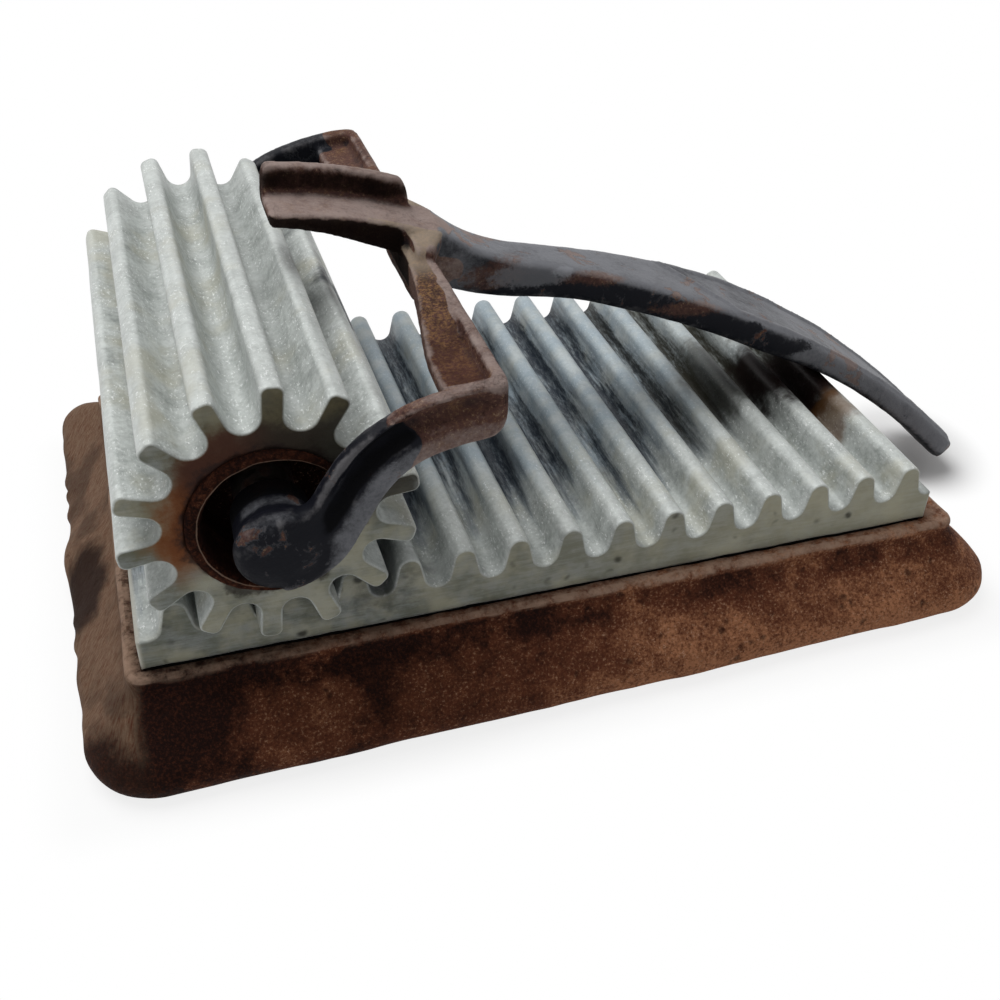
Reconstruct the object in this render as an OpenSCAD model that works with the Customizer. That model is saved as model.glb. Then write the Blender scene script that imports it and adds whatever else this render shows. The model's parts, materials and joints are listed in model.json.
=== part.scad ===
// Hand fluting iron: a fluted roller in a yoke handle, rolled along a fluted bed on an iron base.
// X runs along the bed, Y along the flutes, Z up. The origin lies under the middle of the whole tool.

/* [Flutes] */
// Distance from crest to crest along the bed
flute_pitch = 9.5; // [9:0.1:10.5]
// Number of crests on the bed
bed_crests = 15; // [11:1:17]
// Number of teeth round the roller
roller_teeth = 14; // [13:1:17]
// Height of the bed's crests above its valleys
crest_h = 6.6; // [5.8:0.1:7.2]
// Radius of the round top of a bed crest
crest_r = 2; // [1.7:0.05:2.1]
// Radius of the round bottom of a bed valley
valley_r = 2.1; // [1.9:0.05:2.3]
// Depth of the gaps between the roller's teeth
tooth_h = 7.2; // [6.6:0.1:7.6]
// Radius of the round tip of a roller tooth
tooth_r = 1.7; // [1.4:0.05:1.8]
// Radius of the round bottom of a gap between teeth
gap_r = 2.4; // [2.2:0.05:2.6]
// How far a roller tooth reaches past the pitch line
tooth_addendum = 1.6; // [1.2:0.1:2]
// Clearance between a tooth tip and the valley under it
mesh_gap = 0.5; // [0.3:0.05:0.8]

/* [Bed] */
// Length of the flutes across the bed
bed_w = 84.6; // [70:0.1:88]
// Thickness of the bed under its valleys
bed_floor = 6; // [5:0.1:8]
// Bed left beyond the middle of the first valley
bed_head = 1.9; // [0.5:0.1:3]
// Bed left beyond the middle of the last valley
bed_tail = 0.8; // [0.5:0.1:3]
// Distance of the bed's middle from the middle of the base
bed_shift = -1.5; // [-2:0.5:2]

/* [Base] */
// Height of the base
base_h = 18.2; // [16:0.1:24]
// Flat rim of the base beyond each end of the bed
rim_end = 3.1; // [2.5:0.1:8]
// Flat rim of the base beyond each long side of the bed
rim_side = 1.4; // [1:0.1:6]
// Distance by which the foot stands out past the rim
flare = 10.6; // [9:0.1:13]
// Radius of the rounded foot
foot_r = 4; // [3:0.1:4.4]
// Radius of the rounded edge of the rim
lip_r = 1.2; // [0.8:0.1:1.8]
// Upright drop under the rim's rounded edge
rim_drop = 0.4; // [0.2:0.1:1]
// Radius of the hollow curve under the rim
cove_r = 3; // [2:0.1:5]
// Radius of the base's corners at the rim
corner_r = 2; // [1.5:0.1:5]
// Thickness of the plate under the bed
plate_t = 5; // [4:0.1:6]
// Distance of the hollow from the edge of the rim
wall_t = 3.5; // [2.5:0.1:5]

/* [Bed screws] */
// Diameter of the screws' threads
screw_d = 4; // [3:0.1:5]
// Diameter of the screws' heads
screw_head_d = 7; // [6:0.1:9]
// Height of the screws' heads
screw_head_h = 2.4; // [2:0.1:3.5]
// Width of the slot in each head
screw_slot = 1; // [0.8:0.1:1.4]
// Length of thread in the bed
screw_grip = 3.8; // [3:0.1:4.4]
// Distance of the screws from the ends of the bed
screw_inset = 24; // [18:1:40]
// Distance between the two rows of screws
screw_row = 54; // [40:1:60]

/* [Roller] */
// Length of the roller
roller_l = 92.4; // [80:0.1:96]
// Distance of the roller from the yoke's middle, within its end play
roller_shift = -1.2; // [-1.5:0.1:1.5]
// Distance that the roller has rolled on from a valley
roll_on = 2; // [0:0.1:4]
// Which valley of the bed the roller rests by, counted from the left end
rest_valley = 2; // [2:1:4]
// Outer diameter of the iron core tube
tube_od = 25.4; // [24:0.1:27.6]
// Wall of the core tube
tube_wall = 1.5; // [1:0.1:2]
// How far the core tube stands out of the roller's end faces
tube_out = 1; // [0.2:0.1:1.5]
// Depth of the end discs below the roller's end faces
disc_recess = 14; // [8:0.5:20]
// Thickness of the end discs
disc_t = 8; // [5:0.5:12]
// Diameter of the axle
axle_d = 9.5; // [7:0.1:9.8]

/* [Yoke] */
// Width of the side arms at the crossbar
arm_w = 8.8; // [8:0.1:10]
// Thickness of the side arms
arm_t = 3.6; // [3.2:0.1:5]
// Radius of the arms' outer corners, seen from above
arm_round = 2.8; // [2:0.1:3]
// Clearance between each end of the core tube and its arm, with the roller in the middle
arm_gap = 2.8; // [2:0.1:4]
// How far the arms splay outwards from the crossbar to the axle
splay = 3.2; // [2.5:0.1:4.5]
// Diameter of the round ends of the arms
boss_d = 13.2; // [13:0.1:17]
// Diameter of the collars that reach into the roller's ends
collar_d = 12; // [11.8:0.1:13]
// How far the collars reach into the roller's ends
collar_in = 1.8; // [1.6:0.1:4]
// Length of the axle's sockets in the collars
socket_l = 8; // [6:0.5:8]
// Distance from the axle to the back of the crossbar, along the bed
bar_reach = 34.9; // [33:0.1:40]
// Height of the arms' middle line at the crossbar above the axle
arm_rise = 16.6; // [15:0.1:18]
// How far the arms head level from the axle before they climb
arm_low = 14; // [12:0.1:15]
// How far the arms' upper ends run out flat towards the crossbar
arm_high = 25.4; // [23:0.1:26]
// How much the arms' upper ends still climb over that length
arm_climb = 2.6; // [1:0.1:4]
// Part of the arms' line over which they narrow
arm_narrow = 0.4; // [0.3:0.05:0.7]
// Thickness of the crossbar's upright flange
bar_flange = 3.2; // [2.5:0.1:5]
// Width of the crossbar's flat web at the arms
bar_web = 8.8; // [6:0.1:9]
// Width of the crossbar's flat web in the middle
bar_web_mid = 4.6; // [4:0.1:6]
// Thickness of the crossbar's flat web
bar_web_t = 2.8; // [2:0.1:4]
// Depth of the web below the flange's top
bar_web_drop = 2.4; // [1:0.1:4]
// Distance from the middle to which the web is level with the flange
bar_level = 26; // [15:1:30]
// Length over which the web then falls to its full depth
bar_fall = 14; // [8:1:18]

/* [Handle] */
// Distance from the crossbar's back to the neck's hollow curve
neck_start = 3.2; // [2:0.1:5]
// Height of the handle's top over the axle, where the hollow curve starts
neck_top = 22.9; // [22:0.1:24]
// Thickness of the handle at the crossbar
neck_t = 11; // [9:0.1:12]
// Width of the neck
neck_w = 10.6; // [9:0.1:15]
// Radius of the fillets between neck and crossbar
neck_fillet = 7; // [4:0.1:9]
// Radius of the neck's hollow curve
neck_curve = 37; // [30:1:45]
// Downward slope of the handle where the hollow curve starts
neck_slope = 41; // [36:0.5:44]
// Downward slope of the handle where the grip's arch starts
arch_slope = 12.5; // [11:0.5:15]
// Radius of the grip's arch
arch_curve = 204; // [190:1:230]
// Distance from the axle to the handle's tip, along the bed
handle_reach = 159.5; // [130:0.5:164]
// Width of the grip
grip_w = 20.6; // [17:0.1:26]
// Thickness of the grip
grip_t = 5; // [4.5:0.1:6.5]
// Thickness of the grip at its tip
tip_t = 3.2; // [2:0.1:4]
// Length over which the thickness falls from neck to grip
neck_taper = 34; // [25:1:45]
// Length over which the width grows from neck to grip
grip_widen = 60; // [45:1:75]
// Length over which the thickness falls to the tip
tip_taper = 16; // [10:1:25]
// Radius of the grip's corners at the tip
tip_round = 5.5; // [3:0.1:8]
// Clearance between the resting grip and the last crest
rest_gap = 0.4; // [0.3:0.05:1]

/* [Tongue] */
// Height of the tongue's shelf over the axle, at the crossbar
tongue_top = 23.6; // [22.5:0.1:25]
// Distance from the axle to the tongue's free end, along the bed
tongue_end = 11; // [6:0.5:16]
// Width of the tongue
tongue_w = 12; // [10:0.1:16]
// Thickness of the tongue's shelf at its free end
shelf_t = 2.2; // [1.8:0.1:3]
// Thickness of the tongue's shelf at the crossbar
shelf_root_t = 5; // [4:0.1:6]
// Height of the tongue's upright wall above the shelf
wall_h = 4.3; // [3:0.1:7]
// Thickness of the tongue's upright wall
tongue_wall = 2.8; // [2:0.1:3.5]
// Radius of the tongue's arch
tongue_curve = 88; // [75:1:110]
// Downward slope of the tongue at the crossbar
tongue_slope = 21; // [18:0.5:24]

/* [Hidden] */
$fn = 64;
// Radial clearance of the axle in its bores
run_gap = 0.05;
// Radial clearance of pieces fixed in each other
seat_gap = 0.02;
// Radial clearance round the screws in the base
screw_gap = 0.25;
// Clearance past the end of each screw and each end of the axle
end_gap = 0.4;
// Overlap of shapes that are cut or joined
overlap = 1;
// Shares of half the crossbar at which its web starts to widen, and over which it does
web_start = 0.15;
web_growth = 0.75;
// Segments of one rounded crest, valley or corner
arc_steps = 8;
// Segments of one long curve of the handle
curve_steps = 14;

pitch_r = roller_teeth * flute_pitch / (2 * PI);
tip_r = pitch_r + tooth_addendum;
root_r = tip_r - tooth_h;
bed_l = bed_crests * flute_pitch + bed_head + bed_tail;
rim_l = bed_l + 2 * rim_end;
rim_w = bed_w + 2 * rim_side;
base_l = rim_l + 2 * flare;
valley_z = base_h + bed_floor;
crest_z = valley_z + crest_h;
first_valley_x = bed_shift - bed_l / 2 + bed_head;
axle_x = first_valley_x + rest_valley * flute_pitch + roll_on;
axle_z = valley_z + mesh_gap + tip_r;
rest_turn = roll_on / flute_pitch * 360 / roller_teeth;
tube_id = tube_od - 2 * tube_wall;
tube_half = roller_l / 2 + tube_out;
arm_in = tube_half + arm_gap;
arm_out = arm_in + arm_t;
boss_out = arm_out + splay;
collar_y = roller_l / 2 - collar_in;
hollow_h = base_h - plate_t;
tongue_root = bar_reach - bar_flange;

// Points on an arc from angle a0 to angle a1 round a centre
function arc(centre, r, a0, a1, steps) =
    [for (k = [0:steps]) centre + r * [cos(a0 + (a1 - a0) * k / steps), sin(a0 + (a1 - a0) * k / steps)]];

// A list of points taken in the other direction
function backwards(points) = [for (k = [len(points) - 1:-1:0]) points[k]];

// A point turned upwards round the axle by an angle
function lifted(point, angle) =
    [point.x * cos(angle) - point.y * sin(angle), point.x * sin(angle) + point.y * cos(angle)];

// A smooth step from 0 to 1
function ease(t) = let (u = max(0, min(1, t))) u * u * (3 - 2 * u);

// Slope of the bed's flanks: the straight line that touches a valley's and a crest's circles
flank_run = flute_pitch / 2;
flank_rise = crest_h - crest_r - valley_r;
flank = atan2(flank_rise, flank_run) + asin((crest_r + valley_r) / norm([flank_run, flank_rise]));

// Outline of the bed from the first to the last valley, as points in X and Z
function crest_points(i) =
    concat(arc([first_valley_x + (i + 0.5) * flute_pitch, crest_z - crest_r], crest_r, 90 + flank, 90 - flank,
               arc_steps),
           arc([first_valley_x + (i + 1) * flute_pitch, valley_z + valley_r], valley_r, 270 - flank,
               i == bed_crests - 1 ? 270 : 270 + flank, arc_steps));
bed_top = concat(arc([first_valley_x, valley_z + valley_r], valley_r, 270, 270 + flank, arc_steps),
                 [for (i = [0:bed_crests - 1]) each crest_points(i)]);
bed_outline = concat([[bed_shift - bed_l / 2, base_h], [bed_shift - bed_l / 2, valley_z]], bed_top,
                     [[bed_shift + bed_l / 2, valley_z], [bed_shift + bed_l / 2, base_h]]);

// Flank of the roller's teeth: the line that touches a tooth's and a gap's circles
half_tooth = 180 / roller_teeth;
tooth_centre = [0, tip_r - tooth_r];
gap_centre = (root_r + gap_r) * [sin(half_tooth), cos(half_tooth)];
to_gap = gap_centre - tooth_centre;
tooth_flank = atan2(to_gap.y, to_gap.x) + acos((tooth_r + gap_r) / norm(to_gap));
tooth_points = concat(arc(tooth_centre, tooth_r, 180 - tooth_flank, tooth_flank, arc_steps),
                      arc(gap_centre, gap_r, 180 + tooth_flank, 360 - tooth_flank - 2 * half_tooth,
                          arc_steps));
roller_outline = [for (i = [0:roller_teeth - 1], point = tooth_points)
                  let (a = 180 - rest_turn - i * 2 * half_tooth)
                  [point.x * cos(a) - point.y * sin(a), point.x * sin(a) + point.y * cos(a)]];

// Side of the base as distance past the rim and height: lip, hollow curve, straight slope and rounded foot.
// The slope is the line that touches the hollow curve's and the foot's circles
cove_centre = [lip_r + cove_r, base_h - lip_r - rim_drop];
foot_centre = [flare - foot_r, foot_r];
to_foot = foot_centre - cove_centre;
side_slope = atan2(-to_foot.y, to_foot.x) - asin((cove_r + foot_r) / norm(to_foot));
side_profile = concat(arc([0, base_h - lip_r], lip_r, 90, 0, arc_steps),
                      arc(cove_centre, cove_r, 180, 270 - side_slope, arc_steps),
                      arc(foot_centre, foot_r, 90 - side_slope, -90, arc_steps));

// Side arm, relative to the axle in X and Z: a strip that leaves the axle level and climbs to the crossbar
arm_corner = arm_w / 2;
arm_bend_x = bar_reach - arm_corner;
arm_pulls = [[0, 0], [arm_low, 0], [arm_bend_x - arm_high, arm_rise - arm_climb], [arm_bend_x, arm_rise]];
function arm_line(t) =
    let (u = 1 - t)
    u * u * u * arm_pulls[0] + 3 * u * u * t * arm_pulls[1] + 3 * u * t * t * arm_pulls[2]
    + t * t * t * arm_pulls[3];
function arm_heading(t) =
    let (u = 1 - t, along = u * u * (arm_pulls[1] - arm_pulls[0]) + 2 * u * t * (arm_pulls[2] - arm_pulls[1])
                            + t * t * (arm_pulls[3] - arm_pulls[2]))
    along / norm(along);
function arm_half_w(t) = arm_w / 2 + (boss_d - arm_w) / 2 * (1 - ease(t / arm_narrow));
function arm_edge(side) =
    [for (k = [0:curve_steps])
     let (t = k / curve_steps, along = arm_heading(t))
     arm_line(t) + side * arm_half_w(t) * [-along.y, along.x]];
arm_outline = concat(arm_edge(1), [[bar_reach, arm_rise + arm_w / 2]],
                     arc([arm_bend_x, arm_rise], arm_corner, 0, -90, arc_steps), backwards(arm_edge(-1)));
// The same arm seen from above: it splays outwards towards the axle and turns round into the crossbar
arm_plan = concat([[-boss_d, boss_out - arm_t], [0, boss_out - arm_t], [arm_bend_x - arm_w, arm_in],
                   [bar_reach, arm_in]],
                  arc([bar_reach - arm_round, arm_out - arm_round], arm_round, 0, 90, arc_steps),
                  [[arm_bend_x - arm_w, arm_out], [0, boss_out], [-boss_d, boss_out]]);

// Crossbar, relative to the axle in X and Z: an upright flange with a flat web on the roller's side
bar_top = arm_rise + arm_w / 2;
web_top = bar_top - bar_web_drop;
flange_outline = concat([[bar_reach, bar_top]], arc([arm_bend_x, arm_rise], arm_corner, 0, -60, arc_steps),
                        [[tongue_root, arm_rise - arm_corner / 2], [tongue_root, bar_top]]);
// The web seen from above: it narrows in a curve from the arms to the middle
web_end = arm_in + overlap;
web_plan = concat([[tongue_root + overlap, -web_end], [tongue_root + overlap, web_end]],
                  [for (k = [curve_steps:-1:-curve_steps])
                   let (share = k / curve_steps, grown = ease((abs(share) - web_start) / web_growth))
                   [bar_reach - bar_web_mid - (bar_web - bar_web_mid) * grown, share * web_end]]);
// The web seen along the tool: level with the flange in the middle, lower beside the arms
web_low = bar_level + bar_fall;
web_profile = [[-web_end, web_top], [-web_low, web_top], [-bar_level, bar_top], [bar_level, bar_top],
               [web_low, web_top], [web_end, web_top], [web_end, web_top - bar_web_t],
               [-web_end, web_top - bar_web_t]];

// Top line of the handle, relative to the axle: a short hollow curve, then a long arch
neck_x = bar_reach + neck_start;
neck_points = arc([neck_x, neck_top] + neck_curve * [sin(neck_slope), cos(neck_slope)], neck_curve,
                  270 - neck_slope, 270 - arch_slope, arc_steps);
arch_start = neck_points[arc_steps];
arch_centre = arch_start - arch_curve * [sin(arch_slope), cos(arch_slope)];
tip_angle = acos((handle_reach - arch_centre.x) / arch_curve);
arch_points = arc(arch_centre, arch_curve, 90 - arch_slope, tip_angle, curve_steps);
handle_top = concat(neck_points, [for (k = [1:curve_steps]) arch_points[k]]);
last = len(handle_top) - 1;
tip_start = handle_reach - tip_taper;

// Thickness of the handle and half its width, at a distance from the axle
function handle_t(x) =
    let (near = max(0, 1 - (x - bar_reach) / neck_taper), far = max(0, (x - tip_start) / tip_taper))
    grip_t + (neck_t - grip_t) * near * near - (grip_t - tip_t) * far;
function handle_half_w(x) =
    neck_w / 2 + (grip_w - neck_w) / 2 * ease((x - bar_reach - 2 * neck_fillet) / grip_widen);

// Underside of the handle: each point of the top line moved inwards, square to its slope
function top_slope(k) =
    let (a = handle_top[max(0, k - 1)], b = handle_top[min(last, k + 1)])
    atan2(b.y - a.y, b.x - a.x);
handle_under = [for (k = [0:last])
                handle_top[k] + handle_t(handle_top[k].x) * [sin(top_slope(k)), -cos(top_slope(k))]];
handle_outline = concat([[tongue_root, tongue_top]], handle_top,
                        [for (point = backwards(handle_under)) if (point.x > bar_reach) point],
                        [[tongue_root, neck_top - neck_t]]);

// Plan of the handle: fillets at the crossbar, a widening grip and a blunt tip with round corners
nose_x = handle_reach - tip_round;
plan_side = concat([[tongue_root, neck_w / 2 + neck_fillet]],
                   arc([bar_reach + neck_fillet, neck_w / 2 + neck_fillet], neck_fillet, 180, 270, arc_steps),
                   [for (k = [1:curve_steps])
                    let (x = bar_reach + neck_fillet + (nose_x - bar_reach - neck_fillet) * k / curve_steps)
                    [x, handle_half_w(x)]],
                   arc([nose_x, grip_w / 2 - tip_round], tip_round, 90, 0, arc_steps));
handle_plan = concat(plan_side, [for (point = backwards(plan_side)) [point.x, -point.y]]);

// Resting angle: the handle is let down until it nearly meets a crest of the bed, or the table
crest_centres = [for (i = [0:bed_crests - 1])
                 [first_valley_x + (i + 0.5) * flute_pitch - axle_x, crest_z - crest_r - axle_z]];
function gap_to_line(point, a, b) =
    let (along = (b - a) / norm(b - a), off = point - a) along.x * -off.y + along.y * off.x;
function over_line(point, a, b) = let (along = b - a) (point - a) * along >= 0 && (point - b) * along <= 0;
function crest_gaps(angle) =
    let (line = [for (point = handle_under) lifted(point, angle)])
    [for (centre = crest_centres, k = [0:len(line) - 2]) if (over_line(centre, line[k], line[k + 1]))
     gap_to_line(centre, line[k], line[k + 1]) - crest_r];
function table_gap(angle) = min([for (point = handle_under) lifted(point, angle).y + axle_z]);
function clear_at(angle) = min(concat(crest_gaps(angle), [table_gap(angle)])) >= rest_gap;
function let_down(low, high, steps) =
    steps == 0 ? high :
    let (mid = (low + high) / 2)
    clear_at(mid) ? let_down(low, mid, steps - 1) : let_down(mid, high, steps - 1);
rest_lift = let_down(-25, 45, 24);

// Tongue, relative to the axle in X and Z: an arched shelf over the roller with an upright wall
tongue_centre = [bar_reach, tongue_top] - tongue_curve * [sin(tongue_slope), cos(tongue_slope)];
tongue_tip_angle = acos((tongue_end - tongue_centre.x) / tongue_curve);
shelf_points = arc(tongue_centre, tongue_curve, tongue_tip_angle, 90 - tongue_slope, arc_steps);
function shelf_thickness(x) =
    shelf_t + (shelf_root_t - shelf_t) * ease((x - tongue_end) / (bar_reach - tongue_end));
shelf_outline = concat(shelf_points,
                       [for (point = backwards(shelf_points)) point - [0, shelf_thickness(point.x)]]);
tongue_wall_end = bar_reach - wall_h / 4;
tongue_wall_outline = concat([for (point = shelf_points) if (point.x < tongue_wall_end - wall_h / 2)
                              point + [0, wall_h]],
                             arc([tongue_wall_end - wall_h / 2, shelf_points[arc_steps].y + wall_h],
                                 wall_h / 2, 90, 0, arc_steps),
                             [[tongue_wall_end, shelf_points[arc_steps].y]],
                             [for (point = backwards(shelf_points)) point - [0, shelf_t]]);

// The tool's middle in X, halfway between the left foot and the handle's tip
tip_ends = [lifted(handle_top[last], rest_lift), lifted(handle_under[last], rest_lift)];
tip_x = axle_x + max(tip_ends[0].x, tip_ends[1].x);
mid_x = (max(tip_x, base_l / 2) - base_l / 2) / 2;

// Puts a piece in the tool's own frame
module placed() {
    translate([-mid_x, 0, 0]) children();
}

// Puts a piece that is drawn round the axle in its place
module on_axle() {
    translate([axle_x - mid_x, 0, axle_z]) children();
}

// Puts a piece of the roller in its place within the end play
module on_roller() {
    on_axle() translate([0, roller_shift, 0]) children();
}

// Carries an outline in X and Z along Y, about the middle
module along_y(length) {
    rotate([90, 0, 0]) linear_extrude(height = length, center = true) children();
}

// A round bar along Y between two places
module bar_y(diameter, from, to) {
    translate([0, from, 0]) rotate([-90, 0, 0]) cylinder(d = diameter, h = to - from);
}

// Outline of half the base's section, out from a line inside its rim
module half_section(inside) {
    polygon(concat([[0, 0], [0, base_h]], [for (point = side_profile) point + [inside, 0]]));
}

module base_body() {
    inner_l = rim_l / 2 - corner_r;
    inner_w = rim_w / 2 - corner_r;
    for (side = [0, 1]) mirror([side, 0, 0]) along_y(2 * inner_w) half_section(rim_l / 2);
    for (side = [0, 1]) mirror([0, side, 0]) translate([0, inner_w, 0])
        rotate([90, 0, 90]) linear_extrude(height = 2 * inner_l, center = true) half_section(corner_r);
    for (sx = [0, 1], sy = [0, 1]) mirror([sx, 0, 0]) mirror([0, sy, 0])
        translate([inner_l, inner_w, 0]) rotate_extrude(angle = 90) half_section(corner_r);
}

// Places its children at each of the four screws
module at_screws() {
    for (sx = [-1, 1], sy = [-1, 1])
        translate([bed_shift + sx * (bed_l / 2 - screw_inset), sy * screw_row / 2, 0]) children();
}

module base_casting() {
    color("sienna") placed() difference() {
        base_body();
        translate([0, 0, hollow_h / 2 - overlap / 2])
            cube([rim_l - 2 * wall_t, rim_w - 2 * wall_t, hollow_h + overlap], center = true);
        at_screws() cylinder(d = screw_d + 2 * screw_gap, h = base_h + overlap);
    }
}

module bed_plate() {
    color("silver") placed() difference() {
        along_y(bed_w) polygon(bed_outline);
        at_screws() translate([0, 0, base_h - overlap])
            cylinder(d = screw_d + 2 * seat_gap, h = screw_grip + end_gap + overlap);
    }
}

module bed_screws() {
    color("dimgray") placed() at_screws() difference() {
        union() {
            translate([0, 0, hollow_h - screw_head_h]) cylinder(d = screw_head_d, h = screw_head_h);
            translate([0, 0, hollow_h]) cylinder(d = screw_d, h = plate_t + screw_grip);
        }
        translate([0, 0, hollow_h - screw_head_h])
            cube([screw_head_d + overlap, screw_slot, screw_head_h], center = true);
    }
}

module roller_flutes() {
    color("lightgray") on_roller() difference() {
        along_y(roller_l) polygon(roller_outline);
        bar_y(tube_od + 2 * seat_gap, -roller_l / 2 - overlap, roller_l / 2 + overlap);
    }
}

module core_tube() {
    color("saddlebrown") on_roller() difference() {
        bar_y(tube_od, -tube_half, tube_half);
        bar_y(tube_id, -tube_half - overlap, tube_half + overlap);
    }
}

// A bearing disc inside the core tube, near the end at positive Y
module end_disc() {
    outer_y = roller_l / 2 - disc_recess;
    difference() {
        bar_y(tube_id - 2 * seat_gap, outer_y - disc_t, outer_y);
        bar_y(axle_d + 2 * run_gap, outer_y - disc_t - overlap, outer_y + overlap);
    }
}

module front_end_disc() {
    color("peru") on_roller() mirror([0, 1, 0]) end_disc();
}

module back_end_disc() {
    color("peru") on_roller() end_disc();
}

module axle_rod() {
    half = collar_y + socket_l - end_gap;
    color("gray") on_axle() bar_y(axle_d, -half, half);
}

// One side arm with its round end, collar and blind socket, at positive Y
module side_arm() {
    difference() {
        union() {
            intersection() {
                along_y(4 * boss_out) polygon(arm_outline);
                translate([0, 0, -2 * boss_out]) linear_extrude(height = 4 * boss_out) polygon(arm_plan);
            }
            bar_y(boss_d, boss_out - arm_t, boss_out);
            bar_y(collar_d, collar_y, boss_out - arm_t + overlap);
        }
        bar_y(axle_d + 2 * run_gap, collar_y - overlap, collar_y + socket_l);
    }
}

// The crossbar's web: its plan carried upwards, within its profile carried along X
module web() {
    intersection() {
        translate([0, 0, web_top - bar_web_t])
            linear_extrude(height = bar_web_t + bar_web_drop) polygon(web_plan);
        rotate([90, 0, 90]) linear_extrude(height = bar_reach) polygon(web_profile);
    }
}

module tongue() {
    along_y(tongue_w) polygon(shelf_outline);
    translate([0, (tongue_w - tongue_wall) / 2, 0]) along_y(tongue_wall) polygon(tongue_wall_outline);
}

module handle() {
    intersection() {
        along_y(4 * grip_w) polygon(handle_outline);
        translate([0, 0, -handle_reach]) linear_extrude(height = 2 * handle_reach) polygon(handle_plan);
    }
}

module yoke_handle() {
    color("darkslategray") on_axle() rotate([0, -rest_lift, 0]) {
        for (side = [0, 1]) mirror([0, side, 0]) side_arm();
        along_y(2 * (arm_out - arm_round)) polygon(flange_outline);
        web();
        tongue();
        handle();
    }
}

base_casting();
bed_plate();
bed_screws();
roller_flutes();
core_tube();
front_end_disc();
back_end_disc();
axle_rod();
yoke_handle();
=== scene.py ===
"""Dresses a hand fluting iron: rusty base, fluted bed and roller, worn painted yoke handle, on a plain stage."""
import json
import math

import bpy
import numpy as np
from bpy.props import FloatProperty, FloatVectorProperty, IntProperty, PointerProperty
from mathutils import Matrix, Vector


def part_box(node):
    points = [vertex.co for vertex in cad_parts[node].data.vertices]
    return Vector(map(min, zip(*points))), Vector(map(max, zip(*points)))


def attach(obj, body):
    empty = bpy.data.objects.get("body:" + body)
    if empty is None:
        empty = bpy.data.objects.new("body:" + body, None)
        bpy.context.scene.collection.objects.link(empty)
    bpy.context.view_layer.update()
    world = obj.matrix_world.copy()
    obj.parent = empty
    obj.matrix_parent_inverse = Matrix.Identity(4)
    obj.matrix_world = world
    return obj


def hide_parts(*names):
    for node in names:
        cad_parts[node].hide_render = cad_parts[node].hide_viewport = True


bl_info = {
    "name": "Fluting iron",
    "version": (1, 0, 0),
    "blender": (4, 5, 0),
    "location": "3D View > Sidebar > Fluting iron",
    "description": "Builds the surfaces and finishes of a hand fluting iron round its solid model",
    "category": "Object",
}

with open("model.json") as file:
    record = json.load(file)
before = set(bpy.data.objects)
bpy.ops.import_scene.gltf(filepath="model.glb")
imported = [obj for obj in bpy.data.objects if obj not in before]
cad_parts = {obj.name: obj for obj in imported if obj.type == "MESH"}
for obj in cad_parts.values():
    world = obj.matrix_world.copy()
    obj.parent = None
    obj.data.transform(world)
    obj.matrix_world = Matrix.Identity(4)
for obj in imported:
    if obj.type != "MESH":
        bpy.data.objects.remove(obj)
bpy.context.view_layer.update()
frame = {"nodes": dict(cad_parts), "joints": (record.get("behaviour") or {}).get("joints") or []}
# Half the floor's width in metres, and the camera's frame in millimetres
FLOOR_HALF, SENSOR = 6, 36

# Lengths inside the shape functions are millimetres, and meshes are in metres
MM = 0.001
JOINTS = {joint["name"]: joint for joint in frame["joints"]}
AXLE = np.array(JOINTS["handle_tilt"]["pos_m"]) / MM
BASE_LO, BASE_HI = (np.array(corner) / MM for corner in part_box("base_casting"))
BED_LO, BED_HI = (np.array(corner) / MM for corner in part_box("bed_plate"))
ROLLER_LO, ROLLER_HI = (np.array(corner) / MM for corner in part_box("roller_flutes"))
TUBE_LO, TUBE_HI = (np.array(corner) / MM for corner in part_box("core_tube"))
# The tube's wall is uneven: its hole lies off the axle by this much
HOLE_SHIFT = np.array([0.65, 0, -0.4])
TUBE_WALL = 1.5
# The foot's turn in radians and where it turns, and its drawn-out far left corner: place, radius and distance
FOOT_TURN, FOOT_PIVOT = 0.0187, -15
DRAWN_CORNER, CORNER_RADIUS, CORNER_DRAW = (-94, 52, 9), 10, 2.8
# Whole numbers that scatter the lattice of the lumps, and the bits that are kept of them
SCATTER = np.array([374761393, 668265263, 1442695041])
SCATTER_SEED, SCATTER_AGAIN, KEPT_BITS = 974634777, 1274126177, 0xffffffff
# Pale flecks in all rust
RUST_FLECK = (0.6, 0.5, 0.38)


def length(name, millimetres, description):
    """A length that the user can set, stored in metres."""
    return FloatProperty(name=name, description=description, default=millimetres * MM, precision=5,
                         unit="LENGTH", subtype="DISTANCE")


def angle(name, degrees, description):
    """An angle that the user can set, stored in radians."""
    return FloatProperty(name=name, description=description, default=math.radians(degrees), subtype="ANGLE")


def share(name, value, description):
    """A share from 0 to 1 that the user can set."""
    return FloatProperty(name=name, description=description, default=value, min=0, max=1, subtype="FACTOR")


def colour(name, value, description):
    """A colour that the user can set."""
    return FloatVectorProperty(name=name, description=description, default=value, min=0, max=1, size=3,
                               subtype="COLOR")


def position(name, metres, description):
    """A place that the user can set."""
    return FloatVectorProperty(name=name, description=description, default=metres, size=3, subtype="XYZ",
                               unit="LENGTH")


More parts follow.
